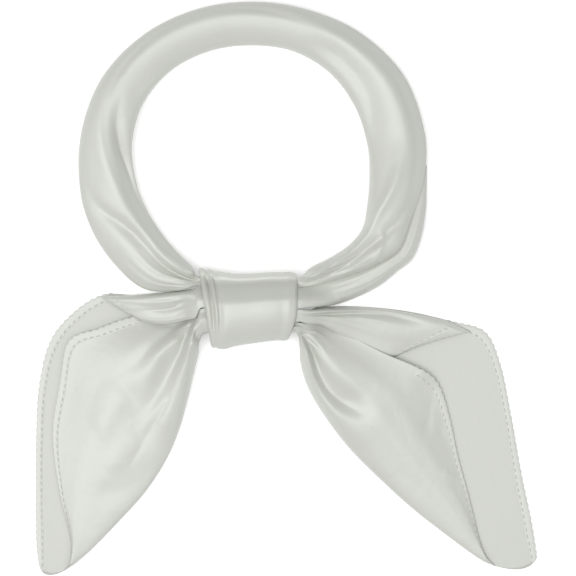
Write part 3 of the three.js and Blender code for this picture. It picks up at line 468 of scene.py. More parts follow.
class Kerchief:
    """The folded kerchief's surfaces, worked out from the scene's sizes"""

    def __init__(self, sizes):
        self.sizes = sizes
        self.knot_length = sizes.knot_length
        self.loop_y = KNOT_DEPTH / 2 + STAND_OFF_SHARE * sizes.neck_radius
        shift_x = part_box("knot_wrap")[1].x - self.knot_length / 2
        shift_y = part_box("neck_band")[1].y - self.loop_y - self.band_edges(TOP_TURN)[1]
        self.shift = np.array([shift_x, shift_y, 0])

    def knot_section(self, x):
        """The knot's middle, half depth and height at a place along X"""
        at = np.clip(x / self.knot_length + 0.5, 0, 1)
        far = along(KNOT_SECTIONS, at, "far") * KNOT_DEPTH
        near = along(KNOT_SECTIONS, at, "near") * KNOT_DEPTH
        return (far - near) / 2, (far + near) / 2, along(KNOT_SECTIONS, at, "height") * KNOT_HEIGHT

    def knot_mouth(self, sign, y):
        """The X of the knot's mouth: the left one (-1) leans, the right one (1) is rounded"""
        share = np.clip(y / (KNOT_DEPTH / 2), -1, 1)
        if sign < 0:
            return -self.knot_length * (0.5 + KNOT_LEAN_SHARE * share)
        return self.knot_length * (0.5 - KNOT_CORNER_SHARE * np.minimum(share, 0) ** 2)

    def knot(self, share, turn):
        """The knot's outer face: shares along it and round it"""
        angle = 2 * math.pi * turn
        top_round = np.where(np.cos(angle) > 0, KNOT_FAR_ROUND, KNOT_NEAR_ROUND)
        power = 2 / np.where(np.sin(angle) < 0, KNOT_BASE_ROUND, top_round)
        across = np.sign(np.cos(angle)) * np.abs(np.cos(angle)) ** power
        up = np.sign(np.sin(angle)) * np.abs(np.sin(angle)) ** power
        reach = across * KNOT_DEPTH / 2
        place = share ** KNOT_CROWDING
        x = lerp(self.knot_mouth(-1, reach), self.knot_mouth(1, reach), place)
        middle, depth, height = self.knot_section(x)
        outward = fold_lift(KNOT_FOLDS, (1 - across) / 2 + 0 * place, place + 0 * across) * KNOT_WALL
        rolled = smoothstep(place, *KNOT_RIGHT_ROLL) ** 2 + (1 - smoothstep(place, *KNOT_LEFT_ROLL)) ** 2
        outward = outward - KNOT_ROLL_IN * rolled
        y = middle + across * (depth + outward)
        half = height / 2
        rise = np.where(up > 0, up * (half + outward) - far_dip(across), up * KNOT_BASE_FACTOR * half)
        return x, y, np.maximum(half + rise, 0)

    def throat(self, x, y):
        """The roof and floor of the room that the knot leaves for the cloth inside it"""
        middle, depth, height = self.knot_section(x)
        lining = KNOT_WALL + KNOT_SLACK
        half = height / 2
        across = (1 + np.minimum(np.abs(y - middle) / (depth - lining), THROAT_EDGE_SHARE)) / 2
        top_round = np.where(y > middle, KNOT_FAR_ROUND, KNOT_NEAR_ROUND)
        roof = half + (half - lining) * fullness(across, top_round) - far_dip((y - middle) / (depth - lining))
        return roof, half - (half - lining) * fullness(across, KNOT_BASE_ROUND)

    def held_rows(self, sign, shares, places, edges=("inner", "outer")):
        """A bundle's rows deep in the knot and at its mouth: the far edge's place and the near edge's"""
        found = []
        for at, inward in ((places["deep"], THROAT_DEPTH_SHARE), (places["mouth"], 0)):
            middle, depth, _ = self.knot_section(sign * (0.5 - inward) * self.knot_length)
            room = depth - KNOT_WALL - KNOT_SLACK
            row = {"at": at}
            for edge, share, gap in zip(edges, shares, (-PLY_GAP, PLY_GAP)):
                y = middle + (1 - 2 * share) * room + gap
                x = self.knot_mouth(sign, y) + sign * (MOUTH_MARGIN - inward * self.knot_length)
                row.update({edge + "X": float(x), edge + "Y": float(y)})
            found.append(row)
        return found

    def band_edges(self, turn):
        """The radius of the band's inner edge and of its outer edge at a turn"""
        inner = along(BAND_SECTIONS, turn, "inner") * self.sizes.neck_radius
        return inner, inner + along(BAND_SECTIONS, turn, "width") * self.sizes.band_width

    def loop_row(self, turn, inner, outer):
        """The loop's edges at a turn, in degrees clockwise from straight down"""
        angle = math.radians(turn)
        row = {"at": turn}
        for edge, radius in (("inner", inner), ("outer", outer)):
            row[edge + "X"] = -math.sin(angle) * radius
            row[edge + "Y"] = self.loop_y - math.cos(angle) * radius
        return row

    def band(self, share, place, on_top):
        """The rolled band, from deep in the knot's left mouth round the neck into the right one"""
        stations = self.held_rows(-1, LEFT_SHARES["band"], LEFT_TURNS)
        stations += [self.loop_row(row["at"], *self.band_edges(row["at"])) for row in BAND_SECTIONS]
        stations += self.held_rows(1, RIGHT_SHARES["band"], RIGHT_TURNS)[::-1]
        at = lerp(LEFT_TURNS["deep"], RIGHT_TURNS["deep"], share)
        known = np.clip(at, BAND_SECTIONS[0]["at"], BAND_SECTIONS[-1]["at"])
        height = along(BAND_SECTIONS, known, "rise") * BAND_HEIGHT
        edge = along(BAND_SECTIONS, known, "edge")
        held = np.maximum(
            1 - smoothstep(at, LEFT_TURNS["mouth"], LEFT_TURNS["free"]),
            smoothstep(at, RIGHT_TURNS["free"], RIGHT_TURNS["mouth"]),
        )
        full = fullness(place, lerp(FREE_ROUND, THROAT_ROUND, held))
        x, y = between(stations, at, ("inner", "outer"), place)
        roof, floor = self.throat(x, y)
        lift = fold_lift(BAND_FOLDS, at, place) + gather_lift(BAND_GATHERS, share, place)
        top = lerp(height * (1 + lift), roof, held)
        middle = lerp(edge * height, (roof + floor) / 2, held)
        return x, y, lerp(middle, np.where(on_top, top, floor * held), full)

    def under_fold(self, share, across):
        """The layer that shows outside the band before the knot's right mouth"""
        stations = []
        for row in UNDER_SECTIONS:
            edge = self.band_edges(row["at"])[1] + PLY_GAP
            station = self.loop_row(row["at"], edge - UNDERLAP, edge + row["width"] * self.sizes.band_width)
            stations.append({**station, "rise": row["rise"]})
        held = self.held_rows(1, RIGHT_SHARES["under"], RIGHT_TURNS)[::-1]
        stations += [{**row, "rise": UNDER_SECTIONS[-1]["rise"]} for row in held]
        at = lerp(stations[0]["at"], stations[-1]["at"], share)
        x, y = between(stations, at, ("inner", "outer"), across)
        gathers = gather_lift(FLAP_GATHERS, share * UNDER_GATHER_SPAN, across)
        crest = along(stations, at, "rise") * UNDER_FOLD_HEIGHT * (1 + gathers)
        free = CORE + (crest - CORE) * fullness(across, FREE_ROUND)
        held = smoothstep(at, RIGHT_TURNS["free"], RIGHT_TURNS["mouth"])
        return x, y, lerp(free, self.throat(x, y)[0], held)


class Hanging:
    """Cloth that runs out of one mouth of the knot: its kind, its edges, and how the knot holds it"""
    kind, edges, gathered, inside = "", (), (), {}

    def __init__(self, kerchief, side):
        plan = SIDES[side]
        table, self.folds = plan[self.kind]
        self.kerchief = kerchief
        self.sign = plan["sign"]
        self.reach = getattr(kerchief.sizes, side + "_reach")
        self.drop = getattr(kerchief.sizes, side + "_drop")
        self.last = table[-1]["at"]
        held = kerchief.held_rows(self.sign, plan["shares"][self.kind], TAIL_PLACES, self.gathered)
        self.stations = [{**row, **self.inside} for row in held]
        for row in table:
            station = dict(row)
            for edge in self.edges:
                station[edge + "X"] = self.sign * (kerchief.knot_length / 2 + row[edge + "Out"] * self.reach)
                station[edge + "Y"] = -row[edge + "Down"] * self.drop
            self.stations.append(station)

    def column(self, name, at):
        """A column's value at a place along the cloth"""
        return along(self.stations, at, name)

    def bow(self, at, across):
        """How far the cloth bows out between its edges, as a share"""
        return self.column("bow", at) * 4 * across * (1 - across)

    def held_share(self, at):
        """How far the knot holds the cloth at a place along it"""
        return 1 - smoothstep(at, TAIL_PLACES["mouth"], TAIL_PLACES["free"])


class Tail(Hanging):
    """One tail: two layers that hang together at a folded edge"""
    kind, edges, gathered = "tail", ("fold", "front", "back"), ("front", "fold")
    inside = {"loft": 1, "brim": HELD_BRIM, "bow": 0}

    def __init__(self, kerchief, side):
        super().__init__(kerchief, side)
        self.layers_high = 2 * kerchief.sizes.cloth + PLY_GAP
        for row in self.stations[:2]:
            row.update(backX=row["frontX"], backY=row["frontY"])

    def place(self, layer, at, across):
        """A point of a layer seen from above, from its folded edge (0) to its hemmed edge (1)"""
        bow = self.bow(at, across) if layer == "back" else 0
        x, y = between(self.stations, at, ("fold", layer), across)
        return x + self.sign * bow * self.reach, y - bow * self.drop

    def width(self, layer, at):
        """A layer's width at a place along the tail"""
        fold_x, fold_y = self.place(layer, at, 0)
        hem_x, hem_y = self.place(layer, at, 1)
        return np.hypot(hem_x - fold_x, hem_y - fold_y)

    def front_top(self, at, across):
        """The height of the front layer"""
        roof, _ = self.kerchief.throat(*self.place("front", at, across))
        lift = fold_lift(self.folds, at, across) + gather_lift(TAIL_GATHERS, at, across)
        crown = self.column("loft", at) * TAIL_LOFT * (1 + lift)
        rise = fullness(np.minimum(across / FRONT_CROWN, 1) / 2, FREE_ROUND)
        brim = self.column("brim", at) * TAIL_LOFT
        free = lerp(lerp(self.layers_high, crown, rise), brim, smoothstep(across, FRONT_CROWN, 1))
        cover = (CORE + 2 * PLY_GAP) * smoothstep(across, COVER_FROM, COVER_TO)
        return lerp(np.maximum(free, self.layers_high), roof - cover, self.held_share(at))

    def back_base(self, at, across):
        """The height of the back layer's underside, which lies on the table"""
        _, floor = self.kerchief.throat(*self.place("back", at, across))
        return floor * self.held_share(at)

    def face(self, layer, at, across):
        """The height of a layer's outer face"""
        return self.front_top(at, across) if layer == "front" else self.back_base(at, across)

    def turned(self, layer, at, across):
        """A point of a layer's outer face, which turns round at the folded edge"""
        middle = (self.front_top(at, 0 * across) + self.back_base(at, 0 * across)) / 2
        inward = across * self.width(layer, at)
        turn = fullness(np.minimum(inward / self.kerchief.sizes.fold_radius, 1) / 2, 2)
        return *self.place(layer, at, across), lerp(middle, self.face(layer, at, across), turn)


class Flap(Hanging):
    """The rolled upper edge of a tail, turned over its front layer"""
    kind, edges, gathered = "flap", ("edge", "lip"), ("edge", "lip")
    inside = {"crest": 1, "lip": HELD_LIP, "bow": 0}

    def point(self, at, across):
        """A point of the flap, from its rolled edge (0) to its lip (1)"""
        x, y = between(self.stations, at, self.edges, across)
        x = x + self.bow(at, across) * self.sign * self.reach
        lift = fold_lift(self.folds, at, across) + gather_lift(FLAP_GATHERS, at, across)
        crest = self.column("crest", at) * TAIL_LOFT * (1 + lift)
        rise = fullness(np.minimum(across / FLAP_CROWN, 1) / 2, 2)
        lip = self.column("lip", at) * TAIL_LOFT
        free = lerp(lerp(CORE + PLY_GAP, crest, rise), lip, smoothstep(across, FLAP_CROWN, 1))
        held = self.held_share(at)
        curl = self.kerchief.sizes.lip_curl * (1 - held) * smoothstep(across, FLAP_CURL, 1) ** 2
        return x, y, lerp(free, self.kerchief.throat(x, y)[0], held) - curl


def both(kind, kerchief):
    """The two tails or the two flaps, by their side's name"""
    return {side: kind(kerchief, side) for side in SIDES}


def even(count):
    """Places from 0 to 1, evenly apart"""
    return np.linspace(0, 1, count + 1)


def crowded(count):
    """Places from 0 to 1 that lie closer together towards both ends"""
    return (1 - np.cos(math.pi * even(count))) / 2


def stack(x, y, z):
    """Three arrays of coordinates as one array of points"""
    return np.stack(np.broadcast_arrays(x, y, z), axis=-1)


def grid_normals(points, ring, top):
    """The outward direction at each point of a grid; top marks the columns that face up"""
    along_rows = np.gradient(points, axis=0)
    if ring:
        across = (np.roll(points, -1, axis=1) - np.roll(points, 1, axis=1)) / 2
    else:
        across = np.gradient(points, axis=1)
    normals = np.cross(along_rows, across)
    normals /= np.linalg.norm(normals, axis=-1, keepdims=True) + 1e-12
    return normals * (1 if normals[:, top, 2].sum() > 0 else -1)


def grid_faces(steps, sides, ring):
    """The faces of a closed wall: an outer grid, an inner grid and the rims between them"""
    columns = sides if ring else sides + 1
    inner = (steps + 1) * columns
    end = steps * columns
    i, j = np.meshgrid(np.arange(steps) * columns, np.arange(sides), indexing="ij")
    following = i + (j + 1) % columns
    a, b, c, d = i + j, i + j + columns, following + columns, following
    near, far = np.arange(sides), (np.arange(sides) + 1) % columns
    quads = [
        (a, b, c, d),
        (a + inner, d + inner, c + inner, b + inner),
        (near, far, far + inner, near + inner),
        (near + end, near + end + inner, far + end + inner, far + end),
    ]
    if not ring:
        i = np.arange(steps) * columns
        k = i + sides
        quads.append((i, i + inner, i + columns + inner, i + columns))
        quads.append((k, k + columns, k + columns + inner, k + inner))
    return np.concatenate([np.stack(quad, -1).reshape(-1, 4) for quad in quads])


def facing_out(points, faces):
    """The faces, turned round if they enclose a negative volume"""
    corners = points[faces]
    first = np.einsum("ij,ij->i", corners[:, 0], np.cross(corners[:, 1], corners[:, 2]))
    second = np.einsum("ij,ij->i", corners[:, 0], np.cross(corners[:, 2], corners[:, 3]))
    return faces if (first + second).sum() > 0 else faces[:, ::-1]


def cloth_wall(outside, thickness, top=slice(None), ring=False):
    """Points, faces and cloth coordinates of a wall of cloth under an outer grid"""
    steps = outside.shape[0] - 1
    sides = outside.shape[1] - (0 if ring else 1)
    inside = outside - grid_normals(outside, ring, top) * thickness
    points = np.concatenate([outside.reshape(-1, 3), inside.reshape(-1, 3)])
    faces = facing_out(points, grid_faces(steps, sides, ring))
    lengths = np.linalg.norm(np.diff(outside, axis=0), axis=-1).mean(axis=1)
    widths = np.linalg.norm(np.diff(outside, axis=1), axis=-1).mean(axis=0)
    u = np.concatenate([[0], np.cumsum(lengths)])
    v = np.concatenate([[0], np.cumsum(widths)])
    uv = np.stack(np.meshgrid(u, v, indexing="ij"), -1).reshape(-1, 2)
    return points, faces, np.concatenate([uv, uv])


def stitches(path, pitch, length, radius):
    """Short threads that lie along a path, as points and faces"""
    distance = np.concatenate([[0], np.cumsum(np.linalg.norm(np.diff(path, axis=0), axis=1))])
    rings, sides = STITCH_GRID
    number = np.arange(int(distance[-1] / pitch))
    reach = np.linspace(0, length, rings) + (number[:, None] + STITCH_START) * pitch
    centre = np.stack([np.interp(reach, distance, path[:, axis]) for axis in range(3)], -1)
    direction = centre[:, -1:] - centre[:, :1]
    direction /= np.linalg.norm(direction, axis=-1, keepdims=True)
    side = np.cross(direction, (0, 0, 1))
    up = np.cross(side, direction)
    angle = (2 * math.pi * np.arange(sides) / sides)[:, None]
    offset = np.cos(angle) * side + STITCH_FLATNESS * np.sin(angle) * up
    full = np.sin(math.pi * np.linspace(*STITCH_TAPER, rings))[:, None, None]
    points = centre[:, :, None] + offset[:, None] * radius * full
    i, j = np.meshgrid(np.arange(rings - 1) * sides, np.arange(sides), indexing="ij")
    following = i + (j + 1) % sides
    tube = np.stack([i + j, following, following + sides, i + j + sides], -1).reshape(-1, 4)
    cap = np.array([(0, 1, 2, 3), (0, 3, 4, 5)])
    faces = np.concatenate([tube, cap[:, ::-1], cap + (rings - 1) * sides])
    faces = faces + (number * rings * sides)[:, None, None]
    return points.reshape(-1, 3), faces.reshape(-1, 4)


def make_piece(name, kerchief, points, faces, uv, finish, threads=None, other_finish=None):
    """A smooth mesh piece in the frame; the other finish is for its threads or else its inner faces"""
    points = points + kerchief.shift
    slots = (faces >= len(points) // 2).all(axis=1)
    if threads:
        more, added = threads
        slots = np.repeat([False, True], (len(faces), len(added)))
        faces = np.concatenate([faces, facing_out(more, added) + len(points)])
        points = np.concatenate([points, more + kerchief.shift])
        uv = np.concatenate([uv, np.zeros((len(more), 2))])
    mesh = bpy.data.meshes.new(name)
    mesh.from_pydata(points, [], faces)
    layer = mesh.uv_layers.new(name="cloth")
    layer.data.foreach_set("uv", uv[faces.ravel()].astype(np.float32).ravel())
    mesh.materials.append(finish)
    if other_finish:
        mesh.materials.append(other_finish)
        mesh.polygons.foreach_set("material_index", slots.astype(np.int32))
    mesh.shade_smooth()
    piece = bpy.data.objects.new(name, mesh)
    bpy.context.scene.collection.objects.link(piece)
    return piece


def settle(piece, node):
    """The piece rides on the kerchief in its solid's place"""
    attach(piece, "root")
    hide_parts(node)


def dress(kerchief, name, node, outside, top=slice(None), ring=False, hems=(), reverse=None):
    """Makes a gathered sheet of satin from its outer grid and puts it in its solid's place; the hems given to
    it are not used
    """
    wall = cloth_wall(outside, kerchief.sizes.cloth, top, ring)
    piece = make_piece(name, kerchief, *wall, named_finish("main satin"), other_finish=reverse)
    settle(piece, node)


class Value:
    """A number in a material: arithmetic on it adds Math nodes"""

    def __init__(self, tree, socket):
        self.tree = tree
        self.socket = socket

    def math(self, operation, other):
        """A Math node on this number and another"""
        node = self.tree.nodes.new("ShaderNodeMath")
        node.operation = operation
        for target, value in zip(node.inputs, (self, other)):
            feed(self.tree, target, value)
        return Value(self.tree, node.outputs[0])

    def __add__(self, other):
        return self.math("ADD", other)

    def __mul__(self, other):
        return self.math("MULTIPLY", other)

    __radd__ = __add__
    __rmul__ = __mul__


def feed(tree, target, value):
    """Sets a socket, or links it where the value comes from a node"""
    if isinstance(value, Value):
        tree.links.new(value.socket, target)
    elif isinstance(value, bpy.types.NodeSocket):
        tree.links.new(value, target)
    else:
        target.default_value = value


class Finish:
    """A material that is put together from nodes"""

    def __init__(self, name):
        self.material = bpy.data.materials.new(name)
        self.material.use_nodes = True
        self.tree = self.material.node_tree
        self.shader = self.tree.nodes["Principled BSDF"]

    def add(self, kind, settings=None, sockets=None):
        """A node of a type, with its settings made first and then its sockets set or linked"""
        node = self.tree.nodes.new(kind)
        for name, value in (settings or {}).items():
            setattr(node, name, value)
        for name, value in (sockets or {}).items():
            feed(self.tree, node.inputs[name], value)
        return node

    def noise(self, place, scale, **sockets):
        """Noise over a place; a scale in three parts stretches a flat one"""
        settings = None
        if isinstance(scale, tuple):
            stretch = self.add("ShaderNodeMapping", None, {"Vector": place, "Scale": scale})
            place, scale, settings = stretch.outputs[0], 1.0, {"noise_dimensions": "2D"}
        node = self.add("ShaderNodeTexNoise", settings, {"Vector": place, "Scale": scale, **sockets})
        return Value(self.tree, node.outputs[0])

    def mix(self, share, first, second):
        """A colour between two others"""
        ends = {"Factor": share, "A": (*first, 1), "B": (*second, 1)}
        return self.add("ShaderNodeMix", {"data_type": "RGBA"}, ends).outputs["Result"]

    def bump(self, relief):
        """The normal of a surface whose relief is given in metres"""
        node = self.add("ShaderNodeBump", None, {"Strength": 1.0, "Distance": 1.0, "Height": relief})
        return node.outputs["Normal"]

    def surface(self, **values):
        """Sets or links the shader's own sockets, named with underscores for spaces"""
        for name, value in values.items():
            feed(self.tree, self.shader.inputs[name.replace("_", " ")], value)


def satin(name, look, crumple, shine):
    """Satin: a smooth face with a soft gloss, a fine twill, faint slubs and small creases"""
    finish = Finish(name)
    cloth = finish.add("ShaderNodeUVMap", {"uv_map": "cloth"}).outputs["UV"]
    place = finish.add("ShaderNodeTexCoord").outputs["Object"]
    threads = finish.noise(cloth, TWILL_SCALE, Detail=1.5)
    slubs = finish.noise(cloth, SLUB_SCALE, Detail=2.0)
    clouds = finish.noise(place, CLOUD_SCALE, Detail=3.0, Roughness=0.55)
    creases = finish.noise(place, CREASE_SCALE, Detail=2.0, Distortion=0.6)
    tone = clouds * (1 - SLUB_TONE) + slubs * SLUB_TONE
    relief = threads * look.weave_relief + slubs * SLUB_RELIEF * look.weave_relief
    finish.surface(
        Base_Color=finish.mix(tone, look.deep, look.pale),
        Roughness=tone * TONE_ROUGHNESS + (look.roughness + DULLING * (1 - shine) - TONE_ROUGHNESS / 2),
        Normal=finish.bump(relief + creases * crumple * look.crease_relief),
        IOR=1 + (look.gloss_index - 1) * shine,
        Sheen_Weight=look.sheen,
        Sheen_Roughness=0.4,
    )
    return finish.material


def thread_finish(name, look):
    """Sewing thread: matt, with a fine twist"""
    finish = Finish(name)
    twist = finish.noise(finish.add("ShaderNodeTexCoord").outputs["Object"], TWIST_SCALE)
    # The thread's colour runs from the satin's deep tone to a darker one: partly the thread's own tone and
    # partly painted shade, so the stitches show as dark dots
    finish.surface(Base_Color=finish.mix(twist, look.deep, look.thread), Roughness=0.7,
                   Normal=finish.bump(twist * THREAD_RELIEF))
    return finish.material


def length(name, description, default):
    """A length that a user can change, in metres"""
    return FloatProperty(name=name, description=description, default=default, unit="LENGTH", precision=6)


def colour(name, description, default):
    """A colour that a user can change"""
    return FloatVectorProperty(name=name, description=description, default=default, subtype="COLOR",
                               min=0, max=1)


def level(name, description, default, low=0, high=1):
    """A plain number that a user can change"""
    return FloatProperty(name=name, description=description, default=default, min=low, max=high,
                         subtype="FACTOR")


class KerchiefSizes(bpy.types.PropertyGroup):
    """Sizes of the kerchief's cloth, band, knot, tails and hems"""
    cloth: length("Cloth", "Thickness that the satin shows at its edges", 0.0005)
    neck_radius: length("Neck radius", "Inner radius of the loop round the neck", 0.059)
    band_width: length("Band width", "Width of the rolled band at its widest", 0.027)
    knot_length: length("Knot length", "Length of the knot from side to side", 0.046)
    left_reach: length("Left reach", "How far the left tail reaches sideways", 0.0843)
    left_drop: length("Left drop", "How far the left tail reaches down", 0.1323)
    right_reach: length("Right reach", "How far the right tail reaches sideways", 0.1205)
    right_drop: length("Right drop", "How far the right tail reaches down", 0.1298)
    fold_radius: length("Fold radius", "Roundness of a tail's folded edge", 0.0012)
    lip_curl: length("Lip curl", "How far a flap's lip turns down", 0.0012)
    hem_width: length("Hem width", "Width of the sewn hems", 0.0044)
    hem_rise: length("Hem rise", "How far a hem stands over the cloth", 0.0002)
    stitch_pitch: length("Stitch pitch", "Distance from stitch to stitch", 0.0034)
    stitch_length: length("Stitch length", "Length of a stitch that shows", 0.0019)
    thread_radius: length("Thread radius", "Radius of the sewing thread", 0.00022)


class KerchiefColours(bpy.types.PropertyGroup):
    """Colours and gloss of the kerchief's satin and thread"""
    pale: colour("Pale satin", "The satin's lighter tone", (0.635, 0.65, 0.6))
    deep: colour("Deep satin", "The satin's darker tone", (0.6, 0.615, 0.565))
    # Thread colour: darker than the satin, partly the thread's own tone and partly painted shade that makes
    # the stitches show as dark dots
    thread: colour("Thread", "Colour of the sewing thread", (0.56, 0.57, 0.525))
    roughness: level("Roughness", "How much the satin scatters its gloss", 0.42)
    gloss_index: level("Gloss", "Index that sets how strongly the satin shines", 1.8, 1, 3)
    sheen: level("Sheen", "Soft light along edges seen at a slant", 0.15)
    weave_relief: length("Weave relief", "Height of the weave", 0.00003)
    crease_relief: length("Crease relief", "Height of the smallest creases", 0.0002)


class StageSettings(bpy.types.PropertyGroup):
    """The floor, the light all round and the camera"""
    floor_size: length("Floor", "Side of the floor", 6.0)
    camera_height: length("Camera height", "Height of the camera over the floor", 2.4)
    view_width: length("View width", "Width that the camera takes in", 0.288)
    view_x: length("View right", "How far right of the knot the view's middle is", 0.0185)
    view_y: length("View away", "How far past the knot the view's middle is", 0.01075)
    floor_glow: level("Floor glow", "Light that the floor gives off by itself", 0.24, high=10)
    floor_colour: colour("Floor colour", "Colour of the floor", (0.93, 0.93, 0.93))
    surround: level("Surround", "Strength of the light from all round", 0.32, high=10)


def worked_out():
    """The kerchief's surfaces for the scene's sizes"""
    return Kerchief(bpy.context.scene.kerchief_sizes)


def named_finish(name):
    """A finish by its name, made once"""
    found = bpy.data.materials.get(name)
    if found:
        return found
    look = bpy.context.scene.kerchief_colours
    return satin(name, look, *SATINS[name]) if name in SATINS else thread_finish(name, look)


class KERCHIEF_OT_band(bpy.types.Operator):
    """Makes the rolled band round the neck"""
    bl_idname = "kerchief.band"
    bl_label = "Neck band"

    def execute(self, context):
        kerchief = worked_out()
        steps, top_sides, base_sides = BAND_GRID
        over, under = [(even(count) + crowded(count)) / 2 for count in (top_sides, base_sides)]
        place = np.concatenate([over, under[-2:0:-1]])
        on_top = np.arange(len(place)) <= top_sides
        outside = stack(*kerchief.band(even(steps)[:, None], place[None, :], on_top[None, :]))
        dress(kerchief, "band_satin", "neck_band", outside, on_top, ring=True)
        return {"FINISHED"}


class KERCHIEF_OT_under_fold(bpy.types.Operator):
    """Makes the layer that shows outside the band beside the knot"""
    bl_idname = "kerchief.under_fold"
    bl_label = "Under fold"

    def execute(self, context):
        kerchief = worked_out()
        steps, sides = UNDER_GRID
        outside = stack(*kerchief.under_fold(even(steps)[:, None], even(sides)[None, :]))
        dress(kerchief, "under_fold_satin", "band_under_fold", outside)
        return {"FINISHED"}


class KERCHIEF_OT_knot(bpy.types.Operator):
    """Makes the cloth that wraps round the knot"""
    bl_idname = "kerchief.knot"
    bl_label = "Knot"

    def execute(self, context):
        kerchief = worked_out()
        steps, sides = KNOT_GRID
        turn = np.arange(sides) / sides
        low, high = KNOT_TOP_TURNS
        outside = stack(*kerchief.knot(even(steps)[:, None], turn[None, :]))
        dress(kerchief, "knot_satin", "knot_wrap", outside, (turn > low) & (turn < high), ring=True)
        return {"FINISHED"}


class KERCHIEF_OT_tails(bpy.types.Operator):
    """Makes the two tails, each of two layers with a folded edge"""
    bl_idname = "kerchief.tails"
    bl_label = "Tails"

    def execute(self, context):
        kerchief = worked_out()
        steps, back_sides, front_sides = TAIL_GRID
        at = even(steps)[:, None]
        back = (even(back_sides) ** TAIL_CROWDING)[:0:-1]
        front = even(front_sides) ** TAIL_CROWDING
        for side, tail in both(Tail, kerchief).items():
            layers = [stack(*tail.turned(*layer)) for layer in (("back", at, back), ("front", at, front))]
            outside = np.concatenate(layers, axis=1)
            dress(kerchief, f"tail_{side}_satin", f"tail_{side}", outside,
                  np.arange(outside.shape[1]) > back_sides, reverse=named_finish("satin reverse"),
                  hems=[f"hem_{side}_front_sewn", f"hem_{side}_back_sewn"])
        return {"FINISHED"}


class KERCHIEF_OT_flaps(bpy.types.Operator):
    """Makes the two rolled flaps on top of the tails"""
    bl_idname = "kerchief.flaps"
    bl_label = "Flaps"

    def execute(self, context):
        kerchief = worked_out()
        steps, sides = FLAP_GRID
        across = (even(sides) ** FLAP_CROWDING)[None, :]
        for side, flap in both(Flap, kerchief).items():
            outside = stack(*flap.point(even(steps)[:, None] * flap.last, across))
            dress(kerchief, f"flap_{side}_satin", f"flap_{side}", outside, hems=[f"hem_{side}_flap_sewn"])
        return {"FINISHED"}


class KERCHIEF_OT_hems(bpy.types.Operator):
    """Makes the sewn hems with their stitches"""
    bl_idname = "kerchief.hems"
    bl_label = "Hems"

    def execute(self, context):
        kerchief = worked_out()
        for side, tail in both(Tail, kerchief).items():
            for layer in ("front", "back"):
                surface = layer_hem(tail, layer, HEM_STARTS[f"{side}_{layer}"])
                self.sew(kerchief, f"hem_{side}_{layer}", surface, HEM_GRID)
        for side, flap in both(Flap, kerchief).items():
            self.sew(kerchief, f"hem_{side}_flap", flap_hem(flap), FLAP_HEM_GRID)
        return {"FINISHED"}

    def sew(self, kerchief, node, surface, grid):
        """One hem strip and its row of stitches"""
        sizes = kerchief.sizes
        share = even(grid[0])[:, None]
        across = crowded(grid[1])[None, :]
        points = stack(*surface(share, across))
        spans = np.linalg.norm(np.diff(points[:, 0], axis=0), axis=1)
        walk = np.concatenate([[0], np.cumsum(spans)])[:, None]
        pucker = np.sin(math.pi * walk / sizes.stitch_pitch) ** 2
        rise = sizes.hem_rise * (1 - np.abs(2 * across - 1) ** HEM_ROUND)
        groove = np.exp(-(((across - STITCH_LINE) / GROOVE_WIDTH) ** 2)) * (GROOVE_LEAST + pucker)
        dip = GROOVE_DEPTH * sizes.hem_rise * groove
        sunk = HEM_START_SINK * sizes.cloth * (1 - smoothstep(share, 0, HEM_START_SPAN))
        outward = points[:, :1] - points[:, -1:]
        outward = outward / (np.linalg.norm(outward, axis=-1, keepdims=True) + 1e-9)
        points[..., 2] += HEM_LIFT + rise - dip - sunk
        scallop = HEM_SCALLOP * pucker * (1 - smoothstep(across, 0, HEM_SCALLOP_SPAN))
        points = points + outward * scallop[..., None]
        wall = cloth_wall(points, sizes.cloth * HEM_CLOTH_SHARE)
        line = points[:, np.argmin(np.abs(across[0] - STITCH_LINE))]
        line = line + np.array([0, 0, sizes.thread_radius * THREAD_STAND])
        threads = stitches(line, sizes.stitch_pitch, sizes.stitch_length, sizes.thread_radius)
        finishes = (named_finish("hem satin"), threads, named_finish("sewing thread"))
        settle(make_piece(f"{node}_sewn", kerchief, *wall, *finishes), node)


def layer_hem(tail, layer, start):
    """The surface that a layer's hem lies on: shares along it, and across from the edge inward"""

    def surface(share, across):
        at = lerp(start, 1, share)
        hem_share = np.minimum(tail.kerchief.sizes.hem_width / tail.width(layer, at), HEM_WIDEST_SHARE)
        place = 1 - hem_share * across
        lift = 0 if layer == "front" else tail.kerchief.sizes.cloth
        return *tail.place(layer, at, place), tail.face(layer, at, place) + lift
    return surface


def flap_hem(flap):
    """The surface that a flap's hem lies on, across its end"""
    nearby = 0.05
    x, y, _ = flap.point(np.array([flap.last, flap.last - nearby]), np.array([0.5, 0.5]))
    reach = flap.kerchief.sizes.hem_width * nearby / math.hypot(x[0] - x[1], y[0] - y[1])

    def surface(share, across):
        return flap.point(flap.last - reach * across, lerp(*FLAP_HEM_SPAN, share) + 0 * across)
    return surface


